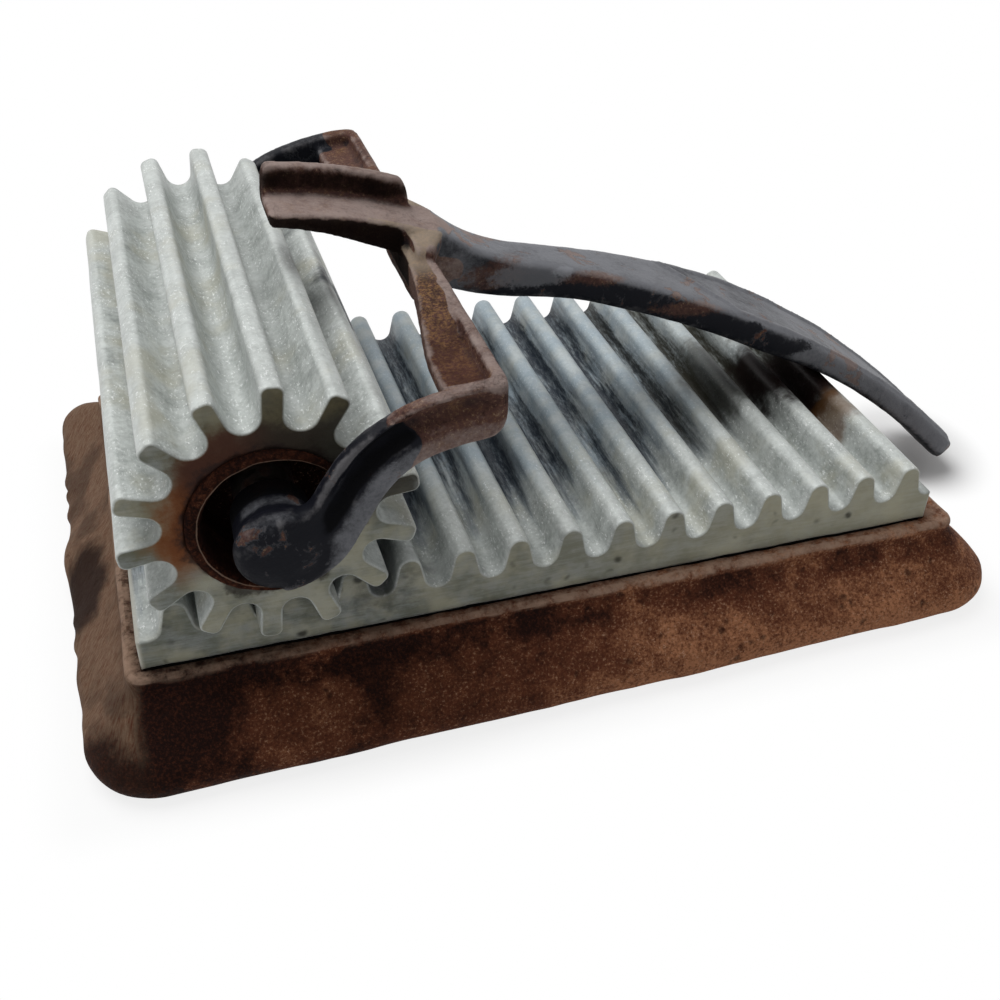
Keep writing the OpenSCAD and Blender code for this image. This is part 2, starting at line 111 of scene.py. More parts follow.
class FluteSizes(bpy.types.PropertyGroup):
    """Sizes of the flutes on the bed and the roller."""
    pitch: length("Pitch", 9.5, "Distance from crest to crest along the bed")
    crests: IntProperty(name="Crests", description="Number of crests on the bed", default=15)
    teeth: IntProperty(name="Teeth", description="Number of teeth round the roller", default=14)
    bed_head: length("Bed head", 1.9, "Bed left beyond the middle of the first valley")
    crest_height: length("Crest height", 6.6, "Height of the bed's crests above its valleys")
    crest_round: length("Crest round", 2, "Radius of the round top of a crest")
    valley_round: length("Valley round", 2.1, "Radius of the round bottom of a valley")
    tooth_height: length("Tooth height", 6.8, "Depth of the gaps between the roller's teeth")
    addendum: length("Addendum", 1.6, "Height of the teeth outside the circle that rolls on the bed")
    tooth_flat: length("Tooth flat", 1, "Width of the flat top of a tooth")
    tooth_round: length("Tooth round", 1.25, "Radius of the rounded edges of a tooth's top")
    gap_round: length("Gap round", 2.4, "Radius of the round bottom of a gap")
    rolled_on: length("Rolled on", 2, "Distance that the roller has rolled on from a valley")
    end_round: length("End round", 0.4, "Radius of the worn edges at the flutes' ends")
    waviness: length("Waviness", 0.08, "Height of the casting's unevenness on the flutes")


class BaseSizes(bpy.types.PropertyGroup):
    """Sizes of the cast base."""
    flare: length("Flare", 10.6, "Distance by which the foot stands out past the rim")
    foot_round: length("Foot round", 4, "Radius of the rounded foot")
    lip_round: length("Lip round", 1.2, "Radius of the rounded edge of the rim")
    rim_drop: length("Rim drop", 0.4, "Upright drop under the rim's rounded edge")
    cove_round: length("Cove round", 3, "Radius of the hollow curve under the rim")
    corner_round: length("Corner round", 2, "Radius of the corners at the rim")
    far_corner: share("Far corner", 0.35, "Radius of the squarer corner at the far left, as a share of the others")
    seam: length("Seam", 0.05, "Width of the open seam round the bed")
    wall: length("Wall", 3.5, "Distance of the hollow from the edge of the rim")
    hollow: length("Hollow", 13.2, "Height of the hollow under the base")
    waviness: length("Waviness", 0.35, "Height of the casting's unevenness on the slopes")


class YokeSizes(bpy.types.PropertyGroup):
    """Sizes of the yoke and its handle, relative to the axle."""
    lift: angle("Lift", 0.268, "Angle by which the resting handle is turned up round the axle")
    arm_width: length("Arm width", 8.8, "Width of the arms at the crossbar")
    arm_thick: length("Arm thickness", 3.6, "Thickness of the arms")
    arm_inside: length("Arm inside", 50, "Distance of the arms' inner faces from the middle, at the crossbar")
    arm_hollow: length("Arm hollow", 1.7, "Depth of the hollow along the arms' outer faces")
    splay: length("Splay", 3.2, "How far the arms splay outwards from the crossbar to the axle")
    boss: length("Boss", 6.6, "Radius of the arms' round ends")
    collar: length("Collar", 6, "Radius of the collars inside the roller's ends")
    collar_end: length("Collar end", 44.4, "Distance of the collars' ends from the middle")
    reach: length("Reach", 34.9, "Distance from the axle to the back of the crossbar")
    rise: length("Rise", 16.6, "Height of the arms' middle line at the crossbar")
    flange: length("Flange", 2.1, "Thickness of the crossbar's upright flange")
    web_drop: length("Web drop", 2.4, "Depth of the crossbar's web below its flange, beside the arms")
    web_level: length("Web level", 20, "Distance from the middle to which the web is level with the flange")
    web_fall: length("Web fall", 24, "Length over which the web falls to its full depth")
    tongue_end: length("Tongue end", 8.9, "Distance from the axle to the tongue's free end")
    tongue_width: length("Tongue width", 12.4, "Width of the tongue")
    tongue_wall: length("Tongue wall", 4.8, "Height of the wall along the tongue")
    neck: length("Neck", 10.6, "Width of the neck")
    grip_width: length("Grip width", 20.6, "Width of the grip")
    grip_thick: length("Grip thickness", 5, "Thickness of the grip")
    grip_swell: length("Grip swell", 1.2, "How much thicker the grip is before its tip")
    tip_round: length("Tip round", 4.2, "Radius of the grip's corners at the tip")
    handle_reach: length("Handle reach", 156.1, "Distance from the axle to the handle's tip")
    panel_start: length("Panel start", 90, "Distance from the axle to the grip's bare panel")
    border: length("Border", 0.45, "Height of the raised border round the grip's bare panel")
    voxel: length("Fineness", 0.52, "Size of the cells in which the casting's parts are fused")


class Finishes(bpy.types.PropertyGroup):
    """Colours of the metals, rust and paint."""
    zinc_light: colour("Light zinc", (0.58, 0.61, 0.59), "Bare cast zinc")
    zinc_dull: colour("Dull zinc", (0.245, 0.262, 0.25), "Dull cast zinc")
    zinc_warm: colour("Warm zinc", (0.41, 0.39, 0.285), "Yellowed cast zinc")
    # The bright specks are painted glints
    zinc_speck: colour("Zinc specks", (0.85, 0.87, 0.86), "Bright specks in the zinc")
    zinc_blue: colour("Blue zinc", (0.25, 0.335, 0.41), "Blue tint of the bed behind its front end")
    zinc_face: colour("Zinc end face", (0.135, 0.142, 0.112), "Greyed zinc on the flutes' ends")
    tarnish: colour("Tarnish", (0.012, 0.018, 0.028), "Dark streaks in the bed's valleys")
    # Thin tarnish, and painted shade on the bed's lower flanks and valleys
    tarnish_thin: colour("Thin tarnish", (0.20, 0.24, 0.28), "Thin tarnish on the bed's flanks")
    bed_edge: colour("Bed edge", (0.52, 0.5, 0.43), "Pale edge of the bed's left end")
    olive: colour("Olive stain", (0.024, 0.022, 0.014), "Dark stain on the bed under the grip")
    stain: colour("Brown stain", (0.12, 0.055, 0.018), "Brown stain on the zinc")
    face_olive: colour("Olive face", (0.12, 0.105, 0.045), "Olive stain on the roller's end")
    face_orange: colour("Orange face", (0.20, 0.052, 0.005), "Orange rust bled over the roller's end")
    face_red: colour("Red face", (0.022, 0.0065, 0.003), "Dark red rust beside the tube")
    face_brown: colour("Brown face", (0.05, 0.016, 0.008), "Brown rust above the tube")
    face_black: colour("Black face", (0.02, 0.016, 0.01), "Black stain at the upper right of the roller's end")
    tooth_stain: colour("Tooth stain", (0.13, 0.11, 0.055), "Stain on the ends of the upper teeth")
    rust_dark: colour("Dark rust", (0.010, 0.0038, 0.0030), "Darkest rust of the base")
    rust_mid: colour("Brown rust", (0.088, 0.027, 0.0135), "Brown rust of the base")
    rust_light: colour("Orange rust", (0.37, 0.165, 0.083), "Orange rust of the base")
    rim_tan: colour("Worn rim", (0.33, 0.222, 0.162), "Rubbed iron along the base's rim")
    base_end: colour("Base end", (0.18, 0.118, 0.078), "Brown iron of the base's left end")
    seam_black: colour("Seam", (0.002, 0.0015, 0.0012), "Open seam round the bed")
    paint_dark: colour("Dark paint", (0.006, 0.0065, 0.010), "Blue-black paint of the yoke")
    # Worn paint also serves as the painted sheen on the yoke's upward faces
    paint_worn: colour("Worn paint", (0.170, 0.174, 0.190), "Greyed paint on the yoke's upper faces")
    paint_edge: colour("Paint edge", (0.33, 0.32, 0.33), "Rubbed edges of the paint")
    paint_shade: colour("Shaded paint", (0.002, 0.002, 0.0026), "Paint in deep hollows")
    bare_chip: colour("Bright chip", (0.36, 0.37, 0.4), "Bright chip on the neck")
    iron_shade: colour("Shaded iron", (0.005, 0.0026, 0.0021), "Bare iron in deep hollows")
    iron_dark: colour("Dark iron", (0.010, 0.0042, 0.0032), "Darkest bare iron of the yoke")
    iron_brown: colour("Brown iron", (0.085, 0.041, 0.034), "Bare brown iron of the yoke")
    # Rubbed iron also serves as the painted light on the bare iron's upward faces
    iron_pale: colour("Rubbed iron", (0.31, 0.245, 0.222), "Rubbed iron on the yoke's edges and tops")
    ochre: colour("Ochre rust", (0.21, 0.115, 0.05), "Rough rust on the crossbar")
    # Darker red towards the crossbar's near end
    bar_red: colour("Red bar", (0.055, 0.017, 0.012), "Dark red rust at the crossbar's near end")
    bar_tan: colour("Tan bar", (0.32, 0.26, 0.20), "Tan iron of the crossbar beside the neck")
    steel: colour("Steel", (0.2, 0.185, 0.17), "Dull steel of the axle and the screws")


class StageSettings(bpy.types.PropertyGroup):
    """Camera, light and floor."""
    azimuth: angle("Azimuth", -18.382, "Direction of the camera round the tool")
    elevation: angle("Elevation", 36.832, "Height of the camera as an angle")
    roll: angle("Roll", 1.416, "Turn of the camera about its own axis")
    place: position("Camera", (-0.07426, -0.18958, 0.15627), "Where the camera stands")
    lens: FloatProperty(name="Lens", description="Focal length on a 36 mm wide frame, in millimetres", default=43.06)
    key_place: position("Lamp", (-0.22, 0.2, 0.75), "Where the large soft lamp hangs")
    key_size: length("Lamp size", 700, "Width of the large soft lamp")
    key_power: FloatProperty(name="Key light", description="Power of the large soft lamp", default=5.2, unit="POWER")
    fill: share("Fill light", 0.3, "Strength of the light from all round")
    floor: colour("Floor", (0.9, 0.9, 0.9), "Pale floor")


# Shapes

def smooth_step(t):
    """A smooth step from 0 to 1."""
    t = np.clip(t, 0, 1)
    return t * t * (3 - 2 * t)


def rising(value, start, run):
    """A smooth step that rises from 0 at the start to 1 after the run."""
    return smooth_step((value - start) / run)


def falling(value, end, run):
    """A smooth step that falls from 1 to 0 over the run before the end."""
    return smooth_step((end - value) / run)


def in_space(plane, y):
    """Points in space from points in X and Z, and Y."""
    return np.stack(np.broadcast_arrays(plane[..., 0], y, plane[..., 1]), -1)


def turned(plane, turn):
    """Points in X and Z turned from X towards Z."""
    x, z, c, n = plane[..., 0], plane[..., 1], np.cos(turn), np.sin(turn)
    return np.stack([x * c - z * n, x * n + z * c], -1)


def swollen(points, factor):
    """Points moved off the line of Y by a factor."""
    return points * np.stack([factor, np.ones_like(factor), factor], -1)


def unit(vectors):
    """Vectors of length 1."""
    return vectors / np.linalg.norm(vectors, axis=-1, keepdims=True)


def left_of(along):
    """Unit normals to the left of directions in the plane."""
    along = unit(along)
    return np.stack([-along[:, 1], along[:, 0]], -1)


def between(start, end, count):
    """Points on the straight line between two points, without its ends."""
    return start + np.linspace(0, 1, count + 2)[1:-1, None] * (np.asarray(end) - start)


def lumps(points, size, seed):
    """Smooth lumps from -1 to 1: fixed numbers on a lattice of the given size, blended between its corners."""
    place = np.asarray(points) / size
    corner = np.floor(place).astype(np.int64)
    blend = smooth_step(place - corner)
    total = 0
    for step in np.ndindex(2, 2, 2):
        number = (((corner + step) * SCATTER).sum(-1) + seed * SCATTER_SEED) & KEPT_BITS
        number = ((number ^ (number >> 13)) * SCATTER_AGAIN) & KEPT_BITS
        number = (number ^ (number >> 16)) / 2 ** 31 - 1
        total = total + number * np.prod(np.where(step, blend, 1 - blend), axis=-1)
    return total


def cast_wave(points, seed):
    """Unevenness of a fluted casting: broad lumps, and small ones drawn out along the flutes."""
    return lumps(points, 11, seed) + 0.5 * lumps(points * [1, 0.4, 1], 4, seed + 2)


def arc(centre, radius, start, end, count):
    """Points on a circle about a centre, from one angle to another in degrees."""
    turn = np.radians(np.linspace(start, end, count))
    return np.asarray(centre) + radius * np.stack([np.cos(turn), np.sin(turn)], -1)


def outward(line):
    """Unit normals of an outline in the plane that runs clockwise, which lie to the left of its direction."""
    return left_of(np.roll(line, -1, 0) - np.roll(line, 1, 0))


def grid_faces(rows, columns, close_rows, close_columns):
    """Four-sided faces between neighbours of a grid of points, closed round it where asked."""
    index = np.arange(rows * columns).reshape(rows, columns)
    if close_rows:
        index = np.vstack([index, index[:1]])
    if close_columns:
        index = np.hstack([index, index[:, :1]])
    return np.stack([index[:-1, :-1], index[:-1, 1:], index[1:, 1:], index[1:, :-1]], -1).reshape(-1, 4)


def volume(points, faces):
    """Signed volume inside a closed mesh: the sum of the tetrahedra from the origin to its triangles."""
    total = 0
    for face in faces:
        p = points[np.asarray(face)].reshape(-1, np.shape(face)[-1], 3)
        for k in range(1, p.shape[1] - 1):
            total += np.einsum("ij,ij->i", p[:, 0], np.cross(p[:, k], p[:, k + 1])).sum()
    return total


def shell(points, close_rows=False, caps=True):
    """Points, quads and end caps of a swept surface, facing outwards. The grid's rows follow the sweep."""
    rows, columns = points.shape[:2]
    quads = grid_faces(rows, columns, close_rows, True)
    ends = [np.arange(columns)[::-1], np.arange(columns) + (rows - 1) * columns] if caps else []
    flat = points.reshape(-1, 3)
    if volume(flat - flat.mean(0), [quads, *[end[None] for end in ends]]) < 0:
        quads, ends = quads[:, ::-1], [end[::-1] for end in ends]
    return flat, quads, ends


def joined(shells):
    """Several shells as one list of points and faces."""
    points, faces, start = [], [], 0
    for flat, quads, ends in shells:
        points.append(flat)
        faces += (quads + start).tolist() + [(end + start).tolist() for end in ends]
        start += len(flat)
    return np.concatenate(points), faces


def new_mesh(name, points, faces):
    """A mesh in metres from points in millimetres, with smooth sides and flat end caps."""
    mesh = bpy.data.meshes.new(name)
    mesh.from_pydata((points * MM).tolist(), [], faces)
    mesh.polygons.foreach_set("use_smooth", [len(face) <= 4 for face in faces])
    return mesh


def linked(name, data):
    """A new object in the scene."""
    thing = bpy.data.objects.new(name, data)
    bpy.context.scene.collection.objects.link(thing)
    return thing


def new_piece(mesh, body, material, node):
    """Links a finished mesh as a piece that rides on a body and stands for a solid."""
    piece = linked(mesh.name, mesh)
    mesh.materials.append(material)
    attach(piece, body)
    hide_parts(node)


def finish_solid(node, material):
    """Gives its material to a solid that stays in view."""
    materials = frame["nodes"][node].data.materials
    materials.clear()
    materials.append(material)


def set_values(mesh, name, values):
    """Keeps one number for each point of a mesh, for its material."""
    mesh.attributes.new(name, "FLOAT", "POINT").data.foreach_set("value", np.ravel(values).astype(np.float32))


class Millimetres:
    """Reads a property group's lengths in millimetres, and its other values as they are."""

    def __init__(self, group):
        self.group = group

    def __getattr__(self, name):
        value = getattr(self.group, name)
        return value / MM if self.group.bl_rna.properties[name].unit == "LENGTH" else value


def grid_normals(points):
    """Outward unit normals on a grid that closes round its columns."""
    along = np.gradient(points, axis=0)
    across = np.roll(points, -1, 1) - np.roll(points, 1, 1)
    normal = np.cross(across, along)
    return normal / np.maximum(np.linalg.norm(normal, axis=-1, keepdims=True), 1e-9)


def bed_outline(s):
    """Outline of the bed in X and Z: arcs over crests and under valleys, joined by the lines that touch both."""
    valley = BED_HI[2] - s.crest_height
    run, rise = s.pitch / 2, s.crest_height - s.crest_round - s.valley_round
    flank = math.degrees(math.atan2(rise, run)
                         + math.asin((s.crest_round + s.valley_round) / math.hypot(run, rise)))
    crest = arc((run, BED_HI[2] - s.crest_round), s.crest_round, 90 + flank, 90 - flank, 13)
    hollow = arc((s.pitch, valley + s.valley_round), s.valley_round, 270 - flank, 270 + flank, 13)
    slope = between(crest[-1], hollow[0], 5)
    climb = between(hollow[-1], crest[0] + [s.pitch, 0], 5)
    one = np.concatenate([crest, slope, hollow, climb])
    steps = np.arange(s.crests)[:, None, None] * np.array([s.pitch, 0])
    past_last = len(climb) + len(hollow) // 2
    flutes = (one + steps).reshape(-1, 2)[:-past_last]
    head = arc((0, valley + s.valley_round), s.valley_round, 270, 270 + flank, 7)
    top = np.concatenate([head, flutes]) + [BED_LO[0] + s.bed_head, 0]
    sides = np.linspace(0, 1, 6)[:, None]
    left = [BED_LO[0], BED_LO[2]] + sides * [0, valley - BED_LO[2]]
    right = [BED_HI[0], valley] - sides * [0, valley - BED_LO[2]]
    under = between([BED_HI[0], BED_LO[2]], [BED_LO[0], BED_LO[2]], 150)
    return np.concatenate([left, top, right, under])


def roller_outline(s):
    """Outline of the roller in X and Z round its axle: arcs at the teeth's edges and in the gaps, joined by lines."""
    half = math.pi / s.teeth
    tip = s.teeth * s.pitch / (2 * math.pi) + s.addendum
    root = tip - s.tooth_height
    tooth = np.array([s.tooth_flat / 2, tip - s.tooth_round])
    gap = (root + s.gap_round) * np.array([math.sin(half), math.cos(half)])
    across = gap - tooth
    flank = math.degrees(math.atan2(across[1], across[0])
                         + math.acos((s.tooth_round + s.gap_round) / np.hypot(*across)))
    over = np.concatenate([arc(tooth * [-1, 1], s.tooth_round, 180 - flank, 90, 7),
                           arc(tooth, s.tooth_round, 90, flank, 7)])
    under = arc(gap, s.gap_round, 180 + flank, 360 - flank - math.degrees(2 * half), 13)
    one = np.concatenate([over, between(over[-1], under[0], 4), under])
    turn = math.pi - s.rolled_on / s.pitch * 2 * half - np.arange(s.teeth) * 2 * half
    return turned(one, turn[:, None]).reshape(-1, 2)


def end_rows(low, high, radius, middle):
    """Places along the flutes and how far the outline shrinks there: quarter circles at both ends."""
    turn = np.radians(np.linspace(90, 0, 5))
    start = np.stack([low + radius * (1 - np.sin(turn)), radius * (1 - np.cos(turn))], -1)
    inner = np.linspace(low + radius, high - radius, middle + 2)[1:-1]
    end = np.stack([low + high - start[::-1, 0], start[::-1, 1]], -1)
    return np.concatenate([start, np.stack([inner, np.zeros(middle)], -1), end])


def carried(line, rows):
    """An outline in X and Z carried along Y, shrunk along its normals at each row."""
    return in_space(line[None] - rows[:, 1, None, None] * outward(line)[None], rows[:, :1])


def rounded_rectangles(half_l, half_w, corner, shares):
    """Rings round the base: quarter circles, each with its share of the corner radius, joined by straight sides."""
    half_l, half_w, corner = (np.asarray(value, float)[:, None] for value in (half_l, half_w, corner))
    parts = []
    for quarter, (sx, sy, count) in enumerate(((1, 1, 200), (-1, 1, 130), (-1, -1, 200), (1, -1, 130))):
        turn = np.radians(quarter * 90 + np.linspace(0, 90, 21))[None]
        here, following = corner * shares[quarter], corner * shares[(quarter + 1) % 4]
        x = sx * (half_l - here) + here * np.cos(turn)
        y = sy * (half_w - here) + here * np.sin(turn)
        parts.append(np.stack([x, y], -1))
        if quarter % 2 == 0:
            goal = np.stack([-sx * (half_l - following), sy * half_w], -1)
        else:
            goal = np.stack([sx * half_l, -sy * (half_w - following)], -1)
        t = np.linspace(0, 1, count + 2)[1:-1][None, :, None]
        parts.append(parts[-1][:, -1:] * (1 - t) + goal * t)
    return np.concatenate(parts, 1)


def base_points(s):
    """Rings from under the bed over its seam, the rim's lip, cove, slope and foot to the table, then up inside."""
    top = BASE_HI[2]
    cove = np.array([s.lip_round + s.cove_round, top - s.lip_round - s.rim_drop])
    foot = np.array([s.flare - s.foot_round, s.foot_round])
    down = foot - cove
    slope = math.degrees(math.atan2(-down[1], down[0])
                         - math.asin((s.cove_round + s.foot_round) / np.hypot(*down)))
    lip = arc((0, top - s.lip_round), s.lip_round, 90, 0, 9)
    hollow = arc(cove, s.cove_round, 180, 270 - slope, 9)
    round_foot = arc(foot, s.foot_round, 90 - slope, -90, 16)
    straight = between(hollow[-1], round_foot[0], 14)
    stand, seam_depth, tucked, bed_corner, least_corner = 3, 0.7, 0.02, 0.3, 0.4
    inside = [[stand - s.wall, 0], [-s.wall, 0], [-s.wall, s.hollow / 2], [-s.wall, s.hollow]]
    side = np.concatenate([lip, hollow, straight, round_foot, inside])
    seat = np.array([[-2, top - tucked], [-0.7, top - tucked], [-0.5, top - seam_depth], [s.seam, top - seam_depth],
                     [s.seam + 0.15, top - 0.1]])
    base_half, bed_half = (BASE_HI - BASE_LO) / 2 - s.flare, (BED_HI - BED_LO) / 2
    grow = np.concatenate([seat, side])[:, :1]
    on_bed = np.arange(len(grow))[:, None] < len(seat)
    half = np.where(on_bed, bed_half[:2], base_half[:2]) + grow
    middle = np.where(on_bed, (BED_HI + BED_LO)[:1] / 2, (BASE_HI + BASE_LO)[:1] / 2)
    corner = np.where(on_bed, bed_corner, np.maximum(s.corner_round + grow, least_corner))
    rings = rounded_rectangles(half[:, 0], half[:, 1], corner[:, 0], (1, s.far_corner, 1, 1))
    rings[..., 0] += middle
    height = np.concatenate([seat, side])[:, 1]
    points = np.stack(np.broadcast_arrays(rings[..., 0], rings[..., 1], height[:, None]), -1)
    return points, len(seat), len(grow) - len(inside)


# Unevenness of the base: size, seed and share
BASE_LUMPS = ((26, 3, 1), (9, 5, 0.6), (3.2, 7, 0.35))
# Dents of the base: place, radius and depth
BASE_DENTS = ((-96, 6, 7, 5, 1.3), (-93, 1, 10, 4, 0.7), (-97, -27, 4, 4, 0.6), (-26, -44.2, 18, 1.3, 0.6),
              (-60, -52, 7, 12, 0.5), (20, -52, 6, 16, 0.4), (-98, 34, 4, 2.2, 0.7),
              (-98, 28, 5, 1.6, 0.6), (-98, 22, 4, 1.8, 0.6), (-98, -12, 5, 1.6, 0.5), (-98, -18, 4, 1.8, 0.6))


def uneven_base(points, first, last, waviness):
    """Turns the foot, draws out its far left corner, and moves the outside by lumps and dents above the table."""
    x, y, z = np.moveaxis(points, -1, 0)
    turn = FOOT_TURN * falling(z, BASE_HI[2], 12)
    corner = np.exp(-(np.linalg.norm(points - DRAWN_CORNER, axis=-1) / CORNER_RADIUS) ** 2) * rising(z, 0, 4)
    drawn = CORNER_DRAW * corner
    points = points + np.stack([-turn * np.minimum(y, 0), turn * (x - FOOT_PIVOT) * (y < 0) + drawn, drawn], -1)
    normal = grid_normals(points)
    bulk = sum(part * lumps(points, size, seed) for size, seed, part in BASE_LUMPS)
    for *place, radius, depth in BASE_DENTS:
        away = np.linalg.norm(points - place, axis=-1)
        bulk = bulk - depth / waviness * np.exp(-(away / radius) ** 2)
    rows = np.arange(len(points))[:, None]
    points[..., 2] += 0.22 * lumps(points, 2.4, 9) * ((rows >= first - 1) & (rows < first + 5))
    fade = rising(points[..., 2], 0, 2.5) * rising(rows, first, 6) * (rows < last)
    return points + normal * (bulk * fade * waviness)[..., None]


def lathe(profile, columns):
    """A profile of distances along Y and radii, turned round the axle."""
    turn = np.linspace(0, 2 * math.pi, columns, endpoint=False)
    y, r = np.asarray(profile, float).T
    return in_space(r[:, None, None] * np.stack([np.cos(turn), np.sin(turn)], -1), y[:, None])


def arm_line(s, t):
    """Middle line of an arm in X and Z, a curve of third degree from the axle to the crossbar, and its normals."""
    bend = s.reach - s.arm_width / 2
    axle_pull, bar_pull, bar_drop = 14, 25.4, 2.6
    pulls = np.array([[0, 0], [axle_pull, 0], [bend - bar_pull, s.rise - bar_drop], [bend, s.rise]])
    t = np.asarray(t)[:, None]
    u = 1 - t
    line = u ** 3 * pulls[0] + 3 * u * u * t * pulls[1] + 3 * u * t * t * pulls[2] + t ** 3 * pulls[3]
    along = u * u * (pulls[1] - pulls[0]) + 2 * u * t * (pulls[2] - pulls[1]) + t * t * (pulls[3] - pulls[2])
    return line, left_of(along)


def arm_shell(s, side):
    """One arm: a section with a hollow outer face, carried along the arm's line and on to a rounded corner."""
    half = s.arm_width / 2
    t = np.linspace(0, 1, 40)
    line, normal = arm_line(s, t)
    wide = half + (s.boss - half) * (1 - rising(t, 0, 0.4))
    past = np.linspace(0, half - 0.1, 9)[1:]
    line = np.concatenate([line, np.stack([line[-1, 0] + past, np.full_like(past, s.rise)], -1)])
    normal = np.concatenate([normal, np.tile([0.0, 1.0], (len(past), 1))])
    up = np.concatenate([wide, np.full_like(past, half)])[:, None]
    low = np.concatenate([wide, np.sqrt(half ** 2 - past ** 2)])[:, None]
    x = line[:, :1]
    splayed = s.splay * (1 - np.clip(x / (s.reach - 1.5 * s.arm_width), 0, 1))
    outer, inner = np.linspace(-0.9, 0.9, 19), np.linspace(0.9, -0.9, 9)
    across = np.concatenate([outer, [1, 1], inner, [-1, -1]])
    depth = np.concatenate([np.ones_like(outer), [0.78, 0.22], np.zeros_like(inner), [0.22, 0.78]])
    dip = np.where(depth == 1, np.sin(np.pi * np.clip((across - 0.02) / 0.9, 0, 1)), 0)
    swell = np.where(depth == 1, np.cos(np.clip((across + 0.4) / 0.5, -1, 1) * np.pi / 2), 0)
    reach = rising(x, 5, 8) * falling(x, s.reach, 6)
    plane = line[:, None] + normal[:, None] * (np.where(across > 0, up, low) * across)[..., None]
    bend, bend_depth = 2.6, 2.4
    bent = bend_depth * (1 - np.sqrt(1 - ((x - s.reach + bend) / bend).clip(0, 1) ** 2))
    y = s.arm_inside + splayed + (s.arm_thick - bent) * depth - reach * (s.arm_hollow * dip - 0.25 * swell)
    return shell(in_space(plane, side * y))


def boss_shell(s, side):
    """Round end of an arm with its collar and blind socket: a profile turned round the axle."""
    out = s.arm_inside + s.arm_thick + s.splay
    socket, point = 5, 0.05
    inner, blind = out - s.arm_thick, out - 4.4
    profile = [(out, point), (out - 0.1, 3.2), (out - 0.4, 4.8), (out - 1.1, 6), (out - 2.2, s.boss),
               (inner, s.boss), (inner - 0.2, s.collar), (s.collar_end + 0.3, s.collar),
               (s.collar_end, s.collar - 0.3), (s.collar_end, socket), (blind, socket), (blind, point)]
    return shell(lathe(profile, 48) * [1, side, 1])


def crossbar_shell(s):
    """The crossbar: a section of flange and web carried along Y. The web widens and sinks towards the arms."""
    half = s.arm_width / 2
    bend, root, top = s.reach - half, s.reach - s.flange, s.rise + half
    overlap, web_reach, widening, web_thick = 0.8, 4.6, 4.2, 2.8
    y = np.linspace(-s.arm_inside - overlap, s.arm_inside + overlap, 90)
    away = np.abs(y) / s.arm_inside
    edge = s.reach - web_reach - widening * rising(away, 0.15, 0.75)
    floor = top - s.web_drop * rising(np.abs(y), s.web_level, s.web_fall)
    fixed = np.concatenate([[[s.reach, top]], arc((bend, s.rise), half, 0, -60, 7), [[root, s.rise - half / 2]]])
    rows = np.broadcast_to(fixed, (len(y), *fixed.shape))
    under, ones = top - s.web_drop - web_thick, np.ones(len(y))
    web = np.stack([np.stack([x * ones, z * ones], -1) for x, z in (
        (root, under), (edge, under), (edge, floor), (root, floor), (root + 0.1, top))], 1)
    return shell(in_space(np.concatenate([rows, web], 1), y[:, None]))


def tongue_shells(s):
    """The tongue: an arched shelf and its upright wall, as sections carried along an arc over the roller."""
    free, last, radius, wall, end_round = s.tongue_end, s.reach - 0.5, 88, 3, 1.4
    root_height, slope, free_thick, thickening = 23.6, math.radians(21), 2.4, 3.4
    centre = np.array([s.reach, root_height]) - radius * np.array([math.sin(slope), math.cos(slope)])

    def top(x):
        return centre[1] + np.sqrt(radius ** 2 - (x - centre[0]) ** 2)

    def rounded_end(x, end, size):
        return np.sqrt(np.clip(1 - (np.abs(x - end) / size - 1).clip(-1, 0) ** 2, 0.02, 1))

    x = np.concatenate([np.linspace(free, free + end_round, 6), np.linspace(free + 2.4, s.reach + 0.5, 22)])
    thick = free_thick + thickening * rising(x, free, s.reach - free)
    section = np.array([(-1, -0.85), (-1, -0.15), (-0.95, 0), (0.3, 0), (0.6, 0), (0.95, 0), (1, -0.15), (1, -0.85),
                        (0.92, -1), (-0.92, -1)])
    y, z = section.T
    wide = s.tongue_width / 2 * (0.86 + 0.14 * rounded_end(x, free, end_round))[:, None]
    shelf = np.stack(np.broadcast_arrays(x[:, None], wide * y, top(x)[:, None] + z * thick[:, None]), -1)
    x = np.concatenate([np.linspace(free, free + end_round, 6), np.linspace(free + 2.4, last - 2.2, 18),
                        np.linspace(last - end_round, last, 6)])
    rise = (s.tongue_wall + 1) * rounded_end(x, free, end_round) * rounded_end(x, last, end_round)
    edge = s.tongue_width / 2
    y = np.array([edge - wall, edge - wall + 0.15, edge - 0.15, edge, edge, edge - wall])
    z = np.array([0.9, 1, 1, 0.9, 0, 0])
    upright = np.stack(np.broadcast_arrays(x[:, None], y, top(x)[:, None] - 1 + rise[:, None] * z), -1)
    return [shell(shelf), shell(upright)]


def handle_line(s):
    """Top line of the handle in X and Z: a hollow curve behind the crossbar, then a long arch to the tip."""
    start = np.array([s.reach + 3.2, 22.9])
    steep, flat, hollow, curve, nose_turn = 41, 12.5, 37, 204, 2.2
    centre = start + hollow * np.array([math.sin(math.radians(steep)), math.cos(math.radians(steep))])
    neck = arc(centre, hollow, 270 - steep, 270 - flat, 14)
    centre = neck[-1] - curve * np.array([math.sin(math.radians(flat)), math.cos(math.radians(flat))])
    tip = math.degrees(math.acos((s.handle_reach - centre[0]) / curve))
    arch = arc(centre, curve, 90 - flat, tip + nose_turn, 64)[1:]
    nose = arc(centre, curve, tip + nose_turn, tip, 22)[1:]
    root = np.array([[s.reach - 3.2, 23.7], [s.reach, 23.5]])
    return np.concatenate([root, neck, arch, nose])


